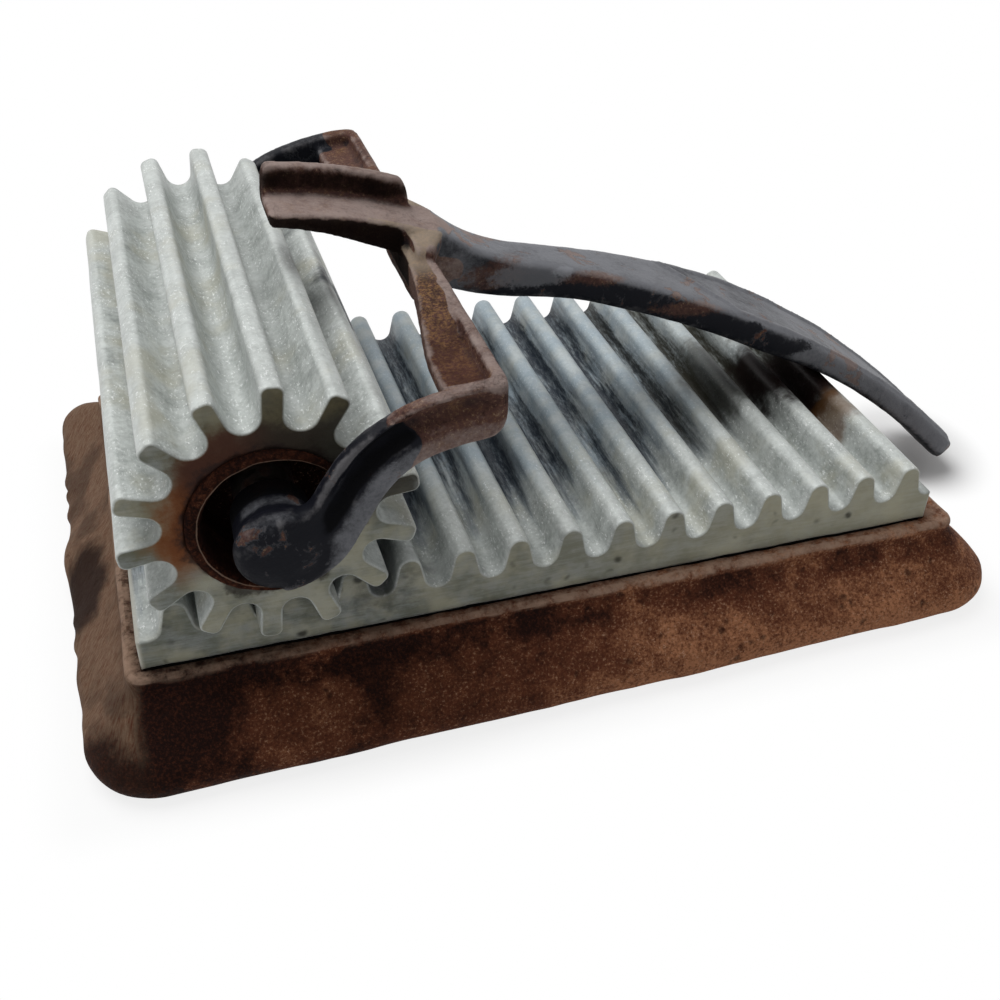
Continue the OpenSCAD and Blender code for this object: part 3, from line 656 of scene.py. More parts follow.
def handle_widths(s, x):
    """Half width and thickness of the handle: fillets at the crossbar, a widening grip and a blunt tip."""
    fillet, neck, grip, tip = 7, s.neck / 2, s.grip_width / 2, s.tip_round
    root_thick, tip_thick, taper = 11, 5.2, 16
    at_bar = fillet - np.sqrt(fillet ** 2 - (s.reach + fillet - x).clip(0, fillet) ** 2)
    half = neck + at_bar + (grip - neck) * rising(x, s.reach + 2 * fillet, 60)
    half = half - tip + np.sqrt(tip ** 2 - (x - s.handle_reach + tip).clip(0, tip) ** 2)
    near = (1 - (x - s.reach) / 34).clip(0, 1)
    far = ((x - s.handle_reach + taper) / taper).clip(0, 1)
    thick = s.grip_thick + s.grip_swell * (1 - rising(x, s.panel_start + 13, 20))
    return half, thick + (root_thick - thick) * near ** 2 + (tip_thick - thick) * far


def handle_shell(s):
    """Neck and grip: a section with round corners carried along the top line, square to its slope."""
    line = handle_line(s)
    normal = left_of(np.gradient(line, axis=0))
    half, thick = handle_widths(s, line[:, 0])
    turn = np.linspace(0, 2 * math.pi, 64, endpoint=False)
    power = 1 / 3
    y = half[:, None] * np.sign(np.cos(turn)) * np.abs(np.cos(turn)) ** power
    z = thick[:, None] / 2 * (np.sign(np.sin(turn)) * np.abs(np.sin(turn)) ** power - 1)
    plane = line[:, None] + normal[:, None] * z[..., None]
    return shell(in_space(plane, y))


def fused(points, faces, voxel):
    """Melts overlapping shells into one casting with soft corners: a voxel skin, then a light smoothing."""
    mesh = new_mesh("casting_parts", points, faces)
    rough = linked("casting_parts", mesh)
    skin = rough.modifiers.new("Skin", "REMESH")
    skin.mode, skin.voxel_size, skin.adaptivity = "VOXEL", voxel * MM, 0
    soften = rough.modifiers.new("Soften", "SMOOTH")
    soften.factor, soften.iterations = 0.5, 5
    finished = bpy.data.meshes.new_from_object(rough.evaluated_get(bpy.context.evaluated_depsgraph_get()))
    bpy.data.objects.remove(rough)
    bpy.data.meshes.remove(mesh)
    finished.name = "yoke"
    finished.polygons.foreach_set("use_smooth", np.ones(len(finished.polygons), bool))
    return finished


def mesh_arrays(mesh):
    """Points in millimetres, normals and edges of a mesh."""
    def read(items, key, width, kind=float):
        values = np.empty(len(items) * width, kind)
        items.foreach_get(key, values)
        return values.reshape(-1, width)

    return (read(mesh.vertices, "co", 3) / MM, read(mesh.vertices, "normal", 3),
            read(mesh.edges, "vertices", 2, np.int32))


def neighbours_mean(values, edges):
    """Mean of the values at the points that share an edge with each point."""
    a, b = edges.T
    count = np.bincount(edges.ravel(), minlength=len(values))
    return (np.bincount(a, values[b], len(values)) + np.bincount(b, values[a], len(values))) / count


def spread(values, edges, times):
    """Averages values with those of neighbouring points, the given number of times."""
    for _ in range(times):
        values = (values + neighbours_mean(values, edges)) / 2
    return values


def standing_out(points, normals, edges):
    """How far each point stands out of its neighbours: positive on edges, negative in corners."""
    means = np.stack([neighbours_mean(axis, edges) for axis in points.T], -1)
    return ((points - means) * normals).sum(1)


def panel_relief(s, points, normals):
    """Relief on the grip's top: a ridge beside its edges and along a slanted line near the neck, and a sunk panel."""
    x, y, _ = points.T
    half, _ = handle_widths(s, x.clip(s.reach, s.handle_reach))
    margin, tip_margin, slant, ridge_width = 2, 3.5, 0.8, 0.6
    inside = np.minimum(half - margin - np.abs(y), (x - s.panel_start + slant * y) / math.hypot(1, slant))
    inside = np.minimum(inside, s.handle_reach - tip_margin - x)
    ridge = np.exp(-(inside / ridge_width) ** 2) * s.border
    on_top = rising(normals[:, 2], 0.4, 0.2) * (x > s.panel_start - 20)
    return (ridge - 0.4 * s.border * rising(inside, 0, 1.2)) * on_top, rising(inside, 0, 1.5) * on_top


def yoke_zones(s, points, normals, panel):
    """Where the yoke is bare iron, how pale it is from rubbing and from painted light, where rough rust and deep
    shade lie, each 0 to 1.
    """
    x, y, z = points.T
    up, far, to_axle = normals[:, 2], np.abs(y), np.hypot(x, z)
    wild = lumps(points, 5, 43) + 0.5 * lumps(points, 1.8, 47)
    line, _ = arm_line(s, np.linspace(0, 1, 60))
    below = np.interp(x, line[:, 0], line[:, 1]) - z
    top = rising(up, 0.5, 0.3)
    arm = far > s.arm_inside - 2.5
    outer = arm & (far > s.arm_inside + 1)
    bar = (x > s.reach - 10) & (x < s.reach + 3) & ~arm
    tongue = (far < 12) & ((x < s.reach - 4) | (z > 25.8) & (x < s.reach + 1))
    wall = tongue & (up < 0.4)
    handle = ~arm & (x > s.reach)

    paint_end = np.where(y > 0, 29, 18.5)
    bare = np.where(arm, rising(x - 0.45 * below + 2 * wild, paint_end, 2), 0.0)
    bare = np.where(bar | tongue, 1.0, bare)
    bare = np.where(handle, falling(x - 4 * wild, s.reach + 6, 5), bare)

    # Paler from rubbing and from painted light: the upward faces along the arms' tops, the corner below its crease,
    # and the lower half of the outer faces as a painted sheen
    corner = rising(x, 17, 4) * (0.12 + 0.3 * rising(below, -0.5, 2))
    low_half = outer * rising(below, 0.2, 1.2) * rising(x, 4, 5) * 0.72
    edge_line = rising(up, 0.7, 0.25) * (0.08 + 0.62 * rising(x, 16, 6))
    pale = np.where(arm, np.maximum.reduce([edge_line, corner, low_half]), 0.8 * top)
    # Painted light at each boss: the near part of the collar's top is painted as lit, and a painted highlight lies on
    # the dome's upper edge
    collar = 0.6 * rising(far, s.arm_inside - 1.2, 0.5) * falling(far, s.arm_inside + 1.6, 0.4) * top
    dome = 0.4 * rising(far, s.arm_inside + 3.8, 0.6) * rising(up, 0.1, 0.6)
    pale = np.where(to_axle < s.collar + 0.8, np.maximum(collar, dome), pale)
    # The handle's upward faces are paler as a painted sheen from above, besides the wear on its top and near side
    grip_top = 0.9 * rising(up, 0.15, 0.45) * (1 - 0.25 * panel)
    grip_side = 0.85 * rising(x - 8 * wild, 98, 14) * rising(up, -0.6, 0.4)
    neck = 0.6 * falling(x, s.reach + 14, 7)
    pale = np.where(handle, np.maximum.reduce([grip_top, grip_side, neck]), pale)
    # The tongue's upward faces are painted as lit; everything is less pale towards the far side
    pale = np.where(tongue, 0.05 + 0.75 * top, pale) * (1 - 0.65 * rising(y, 22, 12))

    inside_flange = falling(x - 0.8 * wild, s.reach - 1.6, 0.8)
    ochre = bar * (up > 0.35) * (far > 5) * (y < 12) * np.maximum(inside_flange, falling(far, 12, 3))
    hollow = outer * falling(below, 0.4, 0.6) * rising(below, -4.1, 0.5) * rising(x, 5, 3) * (1 - bare)
    socket = 0.9 * (far < s.arm_inside - 1.2) * (to_axle < s.collar + 1)
    return {"bare": bare, "pale": np.clip(pale + 0.12 * wild, 0, 1), "ochre": ochre,
            "shade": np.maximum.reduce([hollow, socket, wall * (0.6 + 0.4 * (y < -4))])}


# Materials

class Wiring:
    """Adds nodes to a tree and links their sockets."""

    def __init__(self, tree):
        self.tree = tree

    def fill(self, node, inputs):
        """Links or sets a node's inputs."""
        for key, value in inputs.items():
            socket = node.inputs[key]
            if isinstance(value, bpy.types.NodeSocket):
                self.tree.links.new(value, socket)
            elif isinstance(socket.default_value, float):
                socket.default_value = value
            else:
                socket.default_value = (*value, 1.0)[:len(socket.default_value)]

    def add(self, kind, inputs=None, output=0, **settings):
        """A node with its settings and inputs; gives the wanted output."""
        node = self.tree.nodes.new(kind)
        for key, value in settings.items():
            setattr(node, key, value)
        self.fill(node, inputs or {})
        return node.outputs[output]

    def math(self, operation, a, b=0.0):
        return self.add("ShaderNodeMath", {0: a, 1: b}, operation=operation)

    def times(self, *factors):
        result = factors[0]
        for factor in factors[1:]:
            result = self.math("MULTIPLY", result, factor)
        return result

    def plus(self, *terms):
        """A sum of values and of products, which are given as tuples of factors."""
        terms = [self.times(*term) if isinstance(term, tuple) else term for term in terms]
        result = terms[0]
        for term in terms[1:]:
            result = self.math("ADD", result, term)
        return result

    def vector(self, operation, a, b=(0, 0, 0), output="Vector"):
        return self.add("ShaderNodeVectorMath", {0: a, 1: b}, output, operation=operation)

    def ramp(self, value, low, high):
        """A smooth step between two values."""
        return self.add("ShaderNodeMapRange", {"Value": value, "From Min": low, "From Max": high},
                        interpolation_type="SMOOTHSTEP")

    def centred(self, value):
        """A noise's value about zero."""
        return self.math("SUBTRACT", value, 0.5)

    def mix(self, factor, a, b):
        return self.add("ShaderNodeMix", {0: factor, 6: a, 7: b}, 2, data_type="RGBA")

    def over(self, under, tone, *masks):
        """Lays a colour over another as far as the product of the masks."""
        return self.mix(self.times(*masks), under, tone)

    def noise(self, place, size, detail=4.0, rough=0.55, warp=0.0, stretch=None):
        """Noise of a size in millimetres, in places that are first multiplied by the stretch."""
        if stretch:
            place = self.vector("MULTIPLY", place, stretch)
        return self.add("ShaderNodeTexNoise", {"Vector": place, "Scale": 1 / size, "Detail": detail,
                                               "Roughness": rough, "Distortion": warp})

    def place(self, turn=(0, 0, 0)):
        """Places on the piece in millimetres, turned by angles about the axes."""
        coordinates = self.add("ShaderNodeTexCoord", output="Object")
        return self.add("ShaderNodeMapping", {"Vector": coordinates, "Rotation": turn, "Scale": (1 / MM,) * 3})

    def axes(self, place):
        split = self.tree.nodes.new("ShaderNodeSeparateXYZ")
        self.tree.links.new(place, split.inputs[0])
        return split.outputs

    def value(self, name):
        """A number kept on the piece's points."""
        return self.add("ShaderNodeAttribute", output="Fac", attribute_name=name)

    def patch(self, place, centre, radii, ragged):
        """A soft patch about a place, with a ragged outline."""
        away = self.vector("LENGTH", self.vector("DIVIDE", self.vector("SUBTRACT", place, centre), radii),
                           output="Value")
        return self.ramp(self.plus(away, (self.centred(ragged), 1.2)), 1.05, 0.55)

    def stains(self, tone, finish, place, ragged, marks, own=None):
        """Lays soft patches over a colour, each in one of the finishes or in one of the material's own colours."""
        for centre, radii, mark, strength in marks:
            stain = own[mark] if own and mark in own else getattr(finish, mark)
            tone = self.over(tone, stain, self.patch(place, centre, radii, ragged), strength)
        return tone

    def shared(self, name, inputs, *outputs):
        """Places a shared effect, which is built once, and gives its outputs."""
        if name not in bpy.data.node_groups:
            EFFECTS[name](name)
        node = self.tree.nodes.new("ShaderNodeGroup")
        node.node_tree = bpy.data.node_groups[name]
        self.fill(node, inputs)
        return [node.outputs[key] for key in outputs] if len(outputs) > 1 else node.outputs[outputs[0]]


def new_group(name, inputs, outputs):
    """A node group with named sockets; gives its wiring, its inputs and a function that links its outputs."""
    tree = bpy.data.node_groups.new(name, "ShaderNodeTree")
    for key, kind in inputs.items():
        tree.interface.new_socket(name=key, in_out="INPUT", socket_type="NodeSocket" + kind)
    for key, kind in outputs.items():
        tree.interface.new_socket(name=key, in_out="OUTPUT", socket_type="NodeSocket" + kind)
    enter, leave = tree.nodes.new("NodeGroupInput"), tree.nodes.new("NodeGroupOutput")

    def finish(results):
        for key, socket in results.items():
            tree.links.new(socket, leave.inputs[key])
    return Wiring(tree), enter.outputs, finish


def scaled(w, given):
    """The given places divided by the given size."""
    return w.add("ShaderNodeVectorMath", {0: given["Place"], "Scale": w.math("DIVIDE", 1.0, given["Size"])},
                 operation="SCALE")


def rust_effect(name):
    """Mottled rust in three colours: broad patches, clouds, and fine dark and light grains."""
    w, given, finish = new_group(name, {"Place": "Vector", "Size": "Float", "Glow": "Float", "Dark": "Color",
                                        "Middle": "Color", "Light": "Color"}, {"Color": "Color", "Height": "Float"})
    place, dark, middle, light = (given[key] for key in ("Place", "Dark", "Middle", "Light"))
    broad = w.noise(scaled(w, given), 1.0, 4.0, 0.62, 0.7)
    cloud = w.noise(place, 3.4, 6.0, 0.68)
    grain = w.noise(place, 0.6, 5.0, 0.75)
    dust = w.noise(place, 0.5, 5.0, 0.75)
    level = w.plus((broad, 0.40), (cloud, 0.32), (grain, 0.28), given["Glow"])
    tone = w.mix(w.ramp(level, 0.36, 0.55), dark, middle)
    tone = w.over(tone, light, w.ramp(level, 0.54, 0.72), w.ramp(grain, 0.26, 0.62))
    tone = w.over(tone, dark, w.ramp(grain, 0.46, 0.3), 0.3)
    tone = w.over(tone, w.mix(w.ramp(level, 0.4, 0.6), middle, light), w.ramp(dust, 0.45, 0.66), 0.45)
    flecks = w.times(w.ramp(dust, 0.57, 0.66), w.ramp(level, 0.38, 0.6))
    tone = w.over(tone, w.mix(0.4, light, RUST_FLECK), flecks, 0.62)
    finish({"Color": tone, "Height": w.plus((cloud, 0.55), (grain, 0.45))})


def pits_effect(name):
    """Grain and round pits of rough castings."""
    w, given, finish = new_group(name, {"Place": "Vector", "Size": "Float"}, {"Height": "Float", "Pits": "Float"})
    place = scaled(w, given)
    cell = w.add("ShaderNodeTexVoronoi", {"Vector": place, "Scale": 0.35, "Randomness": 1.0}, "Distance")
    pits = w.times(w.ramp(cell, 0.34, 0.12), w.ramp(w.noise(place, 4.0, 2.0), 0.5, 0.62))
    finish({"Height": w.math("SUBTRACT", w.noise(place, 1.0, 5.0, 0.6), pits), "Pits": pits})


def zinc_effect(name):
    """Grain of cast zinc: fine mottling, rubbed streaks along Y, and bright specks in swarms that are painted glints.
    """
    w, given, finish = new_group(name, {"Place": "Vector", "Size": "Float"},
                                 {"Tone": "Float", "Specks": "Float", "Height": "Float"})
    place = scaled(w, given)
    fine = w.noise(place, 0.9, 6.0, 0.72)
    streak = w.noise(place, 0.7, 4.0, 0.62, stretch=(1, 0.07, 1))
    cloud = w.noise(place, 5.0, 5.0, 0.62)
    tone = w.plus((fine, 0.42), (streak, 0.14), (cloud, 0.44))
    bright = w.noise(place, 0.4, 3.0, 0.62, stretch=(1, 0.5, 1))
    specks = w.times(w.ramp(bright, 0.57, 0.66), w.ramp(w.noise(place, 6.0, 3.0, 0.6), 0.36, 0.6))
    finish({"Tone": tone, "Specks": specks, "Height": w.plus(fine, (specks, 0.6))})


def wear_effect(name):
    """Rubbed edges: the parts that stand out, broken up by noise."""
    w, given, finish = new_group(name, {"Edge": "Float", "Place": "Vector", "Start": "Float", "Full": "Float",
                                        "Ragged": "Float"}, {"Mask": "Float"})
    broken = w.times(w.centred(w.noise(given["Place"], 2.4, 5.0, 0.65)), given["Ragged"])
    finish({"Mask": w.ramp(w.plus(given["Edge"], broken), given["Start"], given["Full"])})


EFFECTS = {"Mottled rust": rust_effect, "Cast pits": pits_effect, "Zinc grain": zinc_effect,
           "Rubbed edges": wear_effect}


class Surface(Wiring):
    """Wiring of a new material, with its surface shader."""

    def __init__(self, name, gloss, metal=0.0):
        self.material = bpy.data.materials.new(name)
        self.material.use_nodes = True
        super().__init__(self.material.node_tree)
        self.shader = self.tree.nodes["Principled BSDF"]
        self.fill(self.shader, {"Specular IOR Level": gloss, "Metallic": metal})

    def made(self, tone, roughness, height, depth):
        """Links colour, roughness and a bump of the given depth in millimetres; gives the material."""
        bump = self.add("ShaderNodeBump", {"Strength": 1.0, "Distance": depth * MM, "Height": height})
        self.fill(self.shader, {"Base Color": tone, "Roughness": roughness, "Normal": bump})
        return self.material


def mottled(w, place, size, glow, dark, middle, light):
    """Colour and height of mottled rust."""
    return w.shared("Mottled rust", {"Place": place, "Size": size, "Glow": glow, "Dark": dark, "Middle": middle,
                                     "Light": light}, "Color", "Height")


def zinc_material(finish, name, marks):
    """Cast zinc: bright grain on the flutes, a painted highlight on the crests and painted shade in the valleys, dull
    pitted ends, and the marks of one piece.
    """
    w = Surface(name, 0.22, 0.1)
    place = w.place()
    tone, specks, height = w.shared("Zinc grain", {"Place": place, "Size": 1.0}, "Tone", "Specks", "Height")
    grain, pits = w.shared("Cast pits", {"Place": place, "Size": 1.3}, "Height", "Pits")
    face, flute = w.value("face"), w.value("flute")
    cloud = w.noise(place, 6.0, 5.0, 0.62)
    metal = w.mix(w.ramp(tone, 0.30, 0.64), finish.zinc_dull, finish.zinc_light)
    metal = w.over(metal, finish.zinc_warm, w.ramp(w.noise(place, 15.0, 4.0, 0.6), 0.5, 0.66), 0.5)
    # Painted highlight on the crests and teeth tops, and painted shade low in the valleys and gaps
    metal = w.over(metal, finish.zinc_light, w.ramp(flute, 0.75, 1.0), 0.35)
    metal = w.over(metal, finish.zinc_dull, w.ramp(flute, 0.4, 0.05), 0.25)
    # Painted glints: bright specks laid over the zinc
    metal = w.over(metal, finish.zinc_speck, specks, 0.75)
    scratch = w.noise(place, 0.5, 4.0, 0.65, stretch=(0.12, 1, 1))
    rubbed = w.ramp(w.plus((cloud, 0.6), (scratch, 0.4)), 0.38, 0.62)
    dull = w.mix(rubbed, finish.zinc_face, finish.zinc_dull)
    dull = w.over(dull, finish.zinc_warm, w.ramp(w.noise(place, 11.0, 4.0, 0.6), 0.42, 0.66), 0.6)
    dull = w.over(dull, finish.zinc_warm, w.ramp(w.axes(place)[0], -60.0, 60.0), 0.55)
    dull = w.over(dull, finish.olive, pits, 0.85)
    metal = marks(w, finish, w.mix(face, metal, dull), place, cloud)
    rough = w.plus(0.36, (face, 0.25), (tone, 0.15))
    ups = w.plus((height, 0.4), (grain, w.plus(0.06, (face, 0.9))))
    return w.made(metal, rough, ups, 0.14)


# Stains on the bed and the roller's flutes: centre, radii, finish and strength. On the bed, the two dark rust patches
# near x 50 are a painted shadow under the grip as well as stain
BED_STAINS_AND_SHADOW = (((36, 0, 28), (11, 16, 12), "olive", 0.8), ((50, -3, 28), (12, 17, 16), "rust_dark", 1.0),
              ((52, -6, 28), (9, 10, 16), "rust_dark", 1.0), ((52, -18, 27), (6, 7, 10), "stain", 0.7),
              ((-48, -36, 26), (14, 9, 8), "tarnish", 0.6))
ROLLER_STAINS = (((-45, 24, 55), (4, 6, 6), "tarnish", 0.9), ((-42, 7, 53), (7, 12, 10), "tarnish", 0.9),
                 ((-41.5, 5, 54), (6, 9, 9), "tarnish", 0.9))
# Rust bled over the roller's end: direction from the axle, how far round it spreads, radius, finish and strength
BLED_RUST = (((-0.8, 0, 0.6), 0.1, 22.0, "face_olive", 0.6), ((-0.93, 0, 0.36), 0.45, 19.2, "face_orange", 0.95),
             ((-0.75, 0, 0.66), 0.2, 16.8, "face_red", 0.9), ((-0.2, 0, 0.98), 0.6, 20.5, "face_brown", 0.95),
             ((0.72, 0, 0.7), 0.45, 27.0, "face_black", 0.9))


def bed_marks(w, finish, metal, place, cloud):
    """Blue tint and tarnish in the valleys behind the front end, thin tarnish and painted shade on the lower flanks,
    dark stains and a painted shadow under the grip, a pale left end.
    """
    x, y, _ = w.axes(place)
    flute, off_end = w.value("flute"), w.ramp(w.value("face"), 0.9, 0.3)
    ragged = w.centred(w.noise(place, 1.5, 6.0, 0.7, stretch=(1, 0.14, 1)))
    mottle = w.centred(w.noise(place, 0.8, 5.0, 0.7))
    long = w.noise(place, 1.0, 4.0, 0.6, stretch=(0.3, 0.03, 0.3))
    right = w.math("MAXIMUM", w.plus(x, -5.0), 0.0)
    front = w.ramp(w.plus(y, (w.centred(long), 36.0), (right, -0.55)), -33.0, -14.0)
    in_valley = w.times(w.ramp(flute, -0.2, -0.05), off_end)
    clouded = w.plus(0.4, (w.ramp(cloud, 0.38, 0.6), 0.6))
    metal = w.over(metal, finish.zinc_blue, front, w.ramp(x, 60.0, 15.0), off_end, clouded, 0.62)
    # Thin tarnish and painted shade on the lower flanks and valleys
    metal = w.over(metal, finish.tarnish_thin, w.ramp(long, 0.42, 0.6), w.ramp(x, 40.0, 0.0),
                   w.ramp(flute, 1.05, 0.5), front, in_valley, 0.75)
    dark = w.mix(w.ramp(w.plus(x, (ragged, 30.0)), 8.0, 36.0), finish.tarnish, finish.olive)
    level = w.plus(flute, (ragged, 0.9))
    metal = w.over(metal, w.mix(0.25, dark, finish.zinc_dull), w.ramp(level, 0.95, 0.45), w.ramp(long, 0.38, 0.6),
                   front, in_valley, 0.7)
    scrubbed = w.ramp(w.noise(place, 0.6, 5.0, 0.75, stretch=(1, 0.2, 1)), 0.36, 0.56)
    deep = w.ramp(w.plus(level, (mottle, 0.5)), 0.56, 0.3)
    metal = w.over(metal, dark, deep, in_valley, front, w.plus(0.45, (scrubbed, 0.55)),
                   w.ramp(long, 0.3, 0.5), 0.96)
    # The bed's dark patches under the grip are painted shadow as well as stain
    metal = w.stains(metal, finish, place, cloud, BED_STAINS_AND_SHADOW)
    return w.over(metal, finish.bed_edge, w.ramp(x, BED_LO[0] + 0.9, BED_LO[0] + 0.2), 0.7)


def roller_marks(w, finish, metal, place, cloud):
    """Rust bled from the tube over the front face, darkened teeth above it, and dark smudges on the flutes."""
    face = w.value("face")
    off = w.vector("MULTIPLY", w.vector("SUBTRACT", place, AXLE), (1, 0, 1))
    way = w.vector("NORMALIZE", off)
    radius = w.plus(w.vector("LENGTH", off, output="Value"), (w.centred(cloud), 11.0))
    for side, spread_to, near, stain, strength in BLED_RUST:
        about = w.ramp(w.vector("DOT_PRODUCT", way, side, "Value"), spread_to, 0.85)
        metal = w.over(metal, getattr(finish, stain), w.ramp(radius, near, near - 5.5), about, face, strength)
    metal = w.over(metal, finish.rust_dark, w.ramp(radius, 14.0, 12.6), face, 0.75)
    tips = w.ramp(w.plus(w.axes(off)[2], (cloud, 8.0)), 19.0, 23.0)
    metal = w.over(metal, finish.tooth_stain, tips, face, w.ramp(cloud, 0.3, 0.6), 0.6)
    return w.stains(metal, finish, place, cloud, ROLLER_STAINS)


# Lighter and darker places of the base's rust: centre, radii and amount
BASE_GLOWS = (((-62, -50, 9), (15, 12, 9), 0.14), ((-84, -47, 12), (15, 14, 12), -0.12))


def base_material(finish):
    """Rusty cast iron: black and orange patches, a rubbed tan rim whose lip is also a painted highlight, and a brown
    left end with fine slanted marks.
    """
    w = Surface("rusty_base_iron", 0.05)
    place = w.place()
    x, _, z = w.axes(place)
    rim_top, left_end = BASE_HI[2], BASE_LO[0]
    cloud = w.noise(place, 9.0, 5.0, 0.65)
    glow = w.plus((w.ramp(x, -84.0, 20.0), 0.21), (w.ramp(z, 13.0, 2.0), 0.05), -0.115)
    glow = w.plus(glow, (w.ramp(z, 7.0, 2.0), w.ramp(x, -30.0, 50.0), 0.14))
    # Darker rust in a band in the cove under the rim
    cove = w.times(w.ramp(z, rim_top - 7.0, rim_top - 4.0), w.ramp(z, rim_top - 1.0, rim_top - 2.0))
    glow = w.plus(glow, (cove, w.ramp(cloud, 0.35, 0.6), -0.13))
    for centre, radii, amount in BASE_GLOWS:
        glow = w.plus(glow, (w.patch(place, centre, radii, cloud), amount))
    rust, ups = mottled(w, place, 15.0, glow, finish.rust_dark, finish.rust_mid, finish.rust_light)
    grain, pits = w.shared("Cast pits", {"Place": place, "Size": 1.1}, "Height", "Pits")
    tone = w.over(rust, finish.rust_dark, pits, 0.6)
    fibre = w.noise(w.place((-0.85, 0, 0)), 1.0, 5.0, 0.7, stretch=(1.2, 0.2, 5.5))
    brown = w.mix(w.ramp(fibre, 0.28, 0.62), finish.rust_mid, finish.base_end)
    brown = w.over(brown, finish.rust_dark, w.ramp(w.noise(place, 16.0, 4.0), 0.52, 0.36), 0.5)
    brown = w.over(brown, finish.rust_dark, w.patch(place, (-94, -7, 8), (7, 12, 10), cloud), 0.9)
    corner = w.patch(place, (-94, -52, 3), (15, 13, 10), cloud)
    brown = w.over(brown, w.mix(0.3, rust, finish.rust_dark), corner, 0.95)
    left = w.ramp(w.plus(x, (cloud, 5.0)), left_end + 14.5, left_end + 11.5)
    tone = w.mix(left, tone, brown)
    along = w.plus(0.42, (w.ramp(x, -60.0, 0.0), 0.38), (w.ramp(x, -82.0, -86.0), 0.25))
    height = w.plus(z, (w.centred(cloud), 3.0))
    tone = w.over(tone, finish.rim_tan, w.ramp(height, rim_top - 1.5, rim_top - 0.3),
                  w.ramp(w.noise(place, 2.6, 6.0, 0.7), 0.34, 0.62), along)
    # Rubbed tan on the lip, which is also a painted highlight on the lip's rounded edge
    tone = w.over(tone, finish.rim_tan, w.ramp(w.value("lip"), 0.3, 0.9),
                  w.ramp(w.noise(place, 3.0, 6.0, 0.7), 0.4, 0.6), along, 0.9)
    tone = w.over(tone, finish.seam_black, w.ramp(w.value("seam"), 0.2, 0.8), w.ramp(cloud, 0.3, 0.44))
    rough = w.plus(0.55, (ups, 0.3))
    ups = w.plus(ups, (grain, 0.5), (left, fibre, 0.45))
    return w.made(tone, rough, ups, 0.4)


# Worn places on the handle's paint: centre, radii, what shows there and strength
YOKE_MARKS = (((-15, -4, 61), (7, 4, 3), "brown", 0.8), ((6, -7, 59), (11, 2.6, 2.2), "brown", 0.9),
              ((22, -9.8, 51), (14, 2.5, 2.4), "iron", 0.85), ((-8, -6, 60.5), (9, 3, 3), "paint_worn", 0.7),
              ((-2, -6, 60.3), (2.6, 2, 1.1), "bare_chip", 0.4), ((35, -10.2, 45.6), (4, 2, 1.4), "paint_dark", 1.0),
              ((45, -10.2, 40), (6, 2, 1.8), "paint_dark", 1.0))


